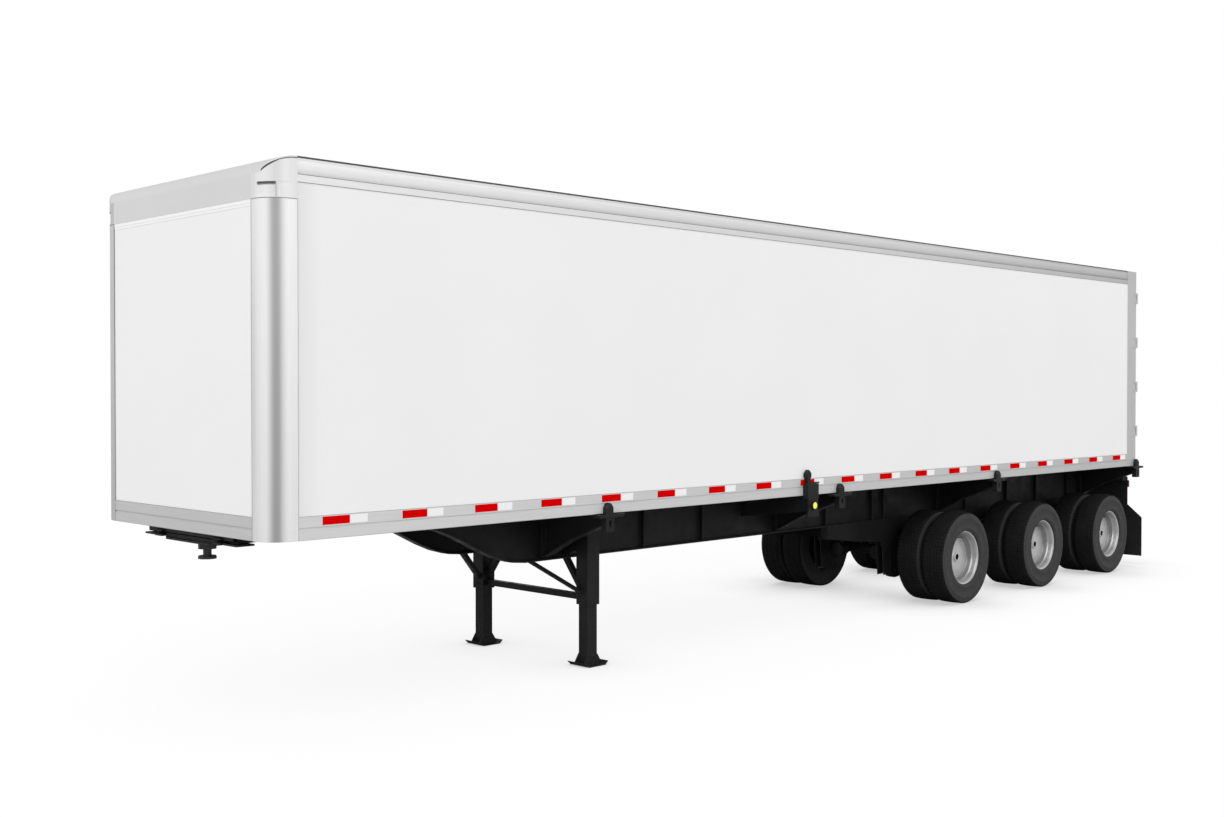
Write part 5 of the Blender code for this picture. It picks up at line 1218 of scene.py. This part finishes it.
def make_air_tank():
    """Air tank with its bands, hung from two bars between the rails."""
    bm = bmesh.new()
    height = CHASSIS_RAIL_HIGH.z - TANK_DROP
    half = TANK_LENGTH / 2
    add_rod(bm, (TANK_X - half, 0.0, height), (TANK_X + half, 0.0, height), TANK_RADIUS, 40, 0.030)
    for place in (-0.62 * half, 0.62 * half):
        x = TANK_X + place
        add_rod(bm, (x - 0.018, 0.0, height), (x + 0.018, 0.0, height), TANK_RADIUS + 0.003, 40,
                0.001)
        add_box(bm, (x - 0.018, -0.020, height), (x + 0.018, 0.020, RAIL_LOW.z - 0.0005), 0.002)
        add_box(bm, (x - 0.022, -CHASSIS_RAIL_Y, RAIL_LOW.z - 0.034),
                (x + 0.022, CHASSIS_RAIL_Y, RAIL_LOW.z - 0.004), 0.002)
    add_piece("air_tank", bm, "frame", 40)


def make_leg_gear():
    """Pins through the foot gussets, and the bolts of each leg's gearbox cover."""
    bm = bmesh.new()
    for side in (-1, 1):
        y = side * LEG_Y
        add_rod(bm, (LEG_X, y - LEG_PIN_REACH, LEG_PIN_HEIGHT),
                (LEG_X, y + LEG_PIN_REACH, LEG_PIN_HEIGHT), 0.012, 20, 0.002)
        for step in (-1, 1):
            add_bolt(bm, (LEG_X, y + step * (LEG_PIN_REACH - 0.004), LEG_PIN_HEIGHT),
                     (0.0, step, 0.0), 0.013)
        for height in LEG_COVER_BOLTS:
            add_bolt(bm, (LEG_X - LEG_TUBE_HALF, y, height), (-1.0, 0.0, 0.0), 0.008)
    add_piece("leg_gear", bm, "frame", 40)


# Materials on the solids that stay

def dress(node, paints, choose=None):
    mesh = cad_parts[node].data
    mesh.materials.clear()
    for paint in paints:
        mesh.materials.append(PAINTS[paint])
    for face in mesh.polygons:
        face.material_index = choose(face) if choose else 0


def dress_solids():
    plain = {"side_wall": "side_panel", "front_wall": "panel", "roof": "roof",
             "bottom_rail": "rail", "front_sill": "sill", "rear_frame": "post",
             "top_rail": "top_rail", "corner_post": "corner", "corner_cap": "corner",
             "nose_panel": "nose", "kingpin": "steel", "mudflap": "flap"}
    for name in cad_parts:
        chosen = [paint for key, paint in plain.items() if name.startswith(key)]
        dress(name, chosen[:1] or ["frame"])
    deck_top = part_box("floor_deck")[1].z
    dress("floor_deck", ["wood", "frame"], lambda face: 0 if face.center.z > deck_top - 0.032 else 1)
    for node in ("door_left", "door_right"):
        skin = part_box(node)[0].x + 0.043
        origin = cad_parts[node].matrix_world.translation.copy()

        def choose(face):
            centre = face.center + origin
            return 1 if centre.x > skin or abs(centre.y) > SIDE_Y else 0

        dress(node, ["door", "zinc"], choose)


# Stage

def is_seen(tree):
    """1 for camera and transmission rays, which show the white background."""
    rays = new_node(tree, "LightPath").outputs
    return new_node(tree, "Math", {0: rays["Is Camera Ray"], 1: rays["Is Transmission Ray"]},
                    operation="MAXIMUM").outputs[0]


def make_stage():
    """A white floor that keeps a faint shadow, and a darker painted shadow close under the trailer."""
    size = FLOOR_HALF
    mesh = bpy.data.meshes.new("floor")
    mesh.from_pydata([(-size, -size, 0), (size, -size, 0), (size, size, 0), (-size, size, 0)],
                     [], [(0, 1, 2, 3)])
    material = bpy.data.materials.new("floor_white")
    material.use_nodes = True
    tree = material.node_tree
    tree.nodes.clear()
    seen = is_seen(tree)
    diffuse = new_node(tree, "BsdfDiffuse", {"Color": blend(tree, seen, 0.45, 0.90)})
    # Painted shadow: the floor's white darkens where other things are close above it
    near = new_node(tree, "AmbientOcclusion", {"Distance": CONTACT_REACH}, samples=12)
    tone = ramp(tree, near.outputs["AO"], CONTACT_SHADOW_TONE, 1.0, 0.25, 0.98)
    white = new_node(tree, "Emission", {"Color": tone, "Strength": 1.01})
    share = new_node(tree, "Math", {0: seen, 1: 0.88}, operation="MULTIPLY")
    mix = new_node(tree, "MixShader", {"Fac": share.outputs[0], 1: diffuse.outputs[0],
                                       2: white.outputs[0]})
    new_node(tree, "OutputMaterial", {"Surface": mix.outputs[0]})
    mesh.materials.append(material)
    floor = new_object("floor", mesh)


def make_light():
    """An even white room and one broad, soft lamp from the camera's side."""
    world = bpy.data.worlds.new("studio")
    bpy.context.scene.world = world
    world.use_nodes = True
    tree = world.node_tree
    strength = new_node(tree, "MapRange", {"To Min": 0.86, "To Max": 1.0, "Value": is_seen(tree)})
    feed(tree, tree.nodes["Background"], {"Color": (1.0, 1.0, 1.0, 1.0),
                                          "Strength": strength.outputs["Result"]})
    lamp = bpy.data.lights.new("key", "SUN")
    lamp.energy = 1.4
    lamp.angle = math.radians(60)
    key = new_object("key", lamp)
    key.rotation_euler = Vector((1.0, 1.05, -1.1)).to_track_quat("-Z", "Y").to_euler()


def make_camera():
    lens = bpy.data.cameras.new("camera")
    lens.sensor_fit = "HORIZONTAL"
    lens.sensor_width = SENSOR_WIDTH
    lens.lens = FOCAL_LENGTH_PX / IMAGE_WIDTH * SENSOR_WIDTH
    lens.clip_end = 500.0
    camera = new_object("camera", lens)
    camera.location = CAMERA_PLACE
    camera.rotation_euler = (math.pi / 2 + CAMERA_TILT, 0.0, -CAMERA_HEADING)
    bpy.context.scene.camera = camera


def main():
    bpy.context.scene.view_settings.view_transform = "Standard"
    make_camera()
    make_stage()
    make_light()
    make_materials()
    dress_solids()
    for make in (make_tyres, make_wheels, make_side_tape, make_marker_lamps, make_rear_lamps,
                 make_corner_posts, make_corner_caps, make_cap_shadows, make_lid_painted_shadow,
                 make_upright_seams, make_cap_seams, make_long_seams, make_roof_edges,
                 make_nose_trim, make_rivets, make_door_gear, make_axle_gear, make_flap_stays,
                 make_spring_castings, make_coupler_web, make_air_tank, make_leg_gear):
        make()


main()
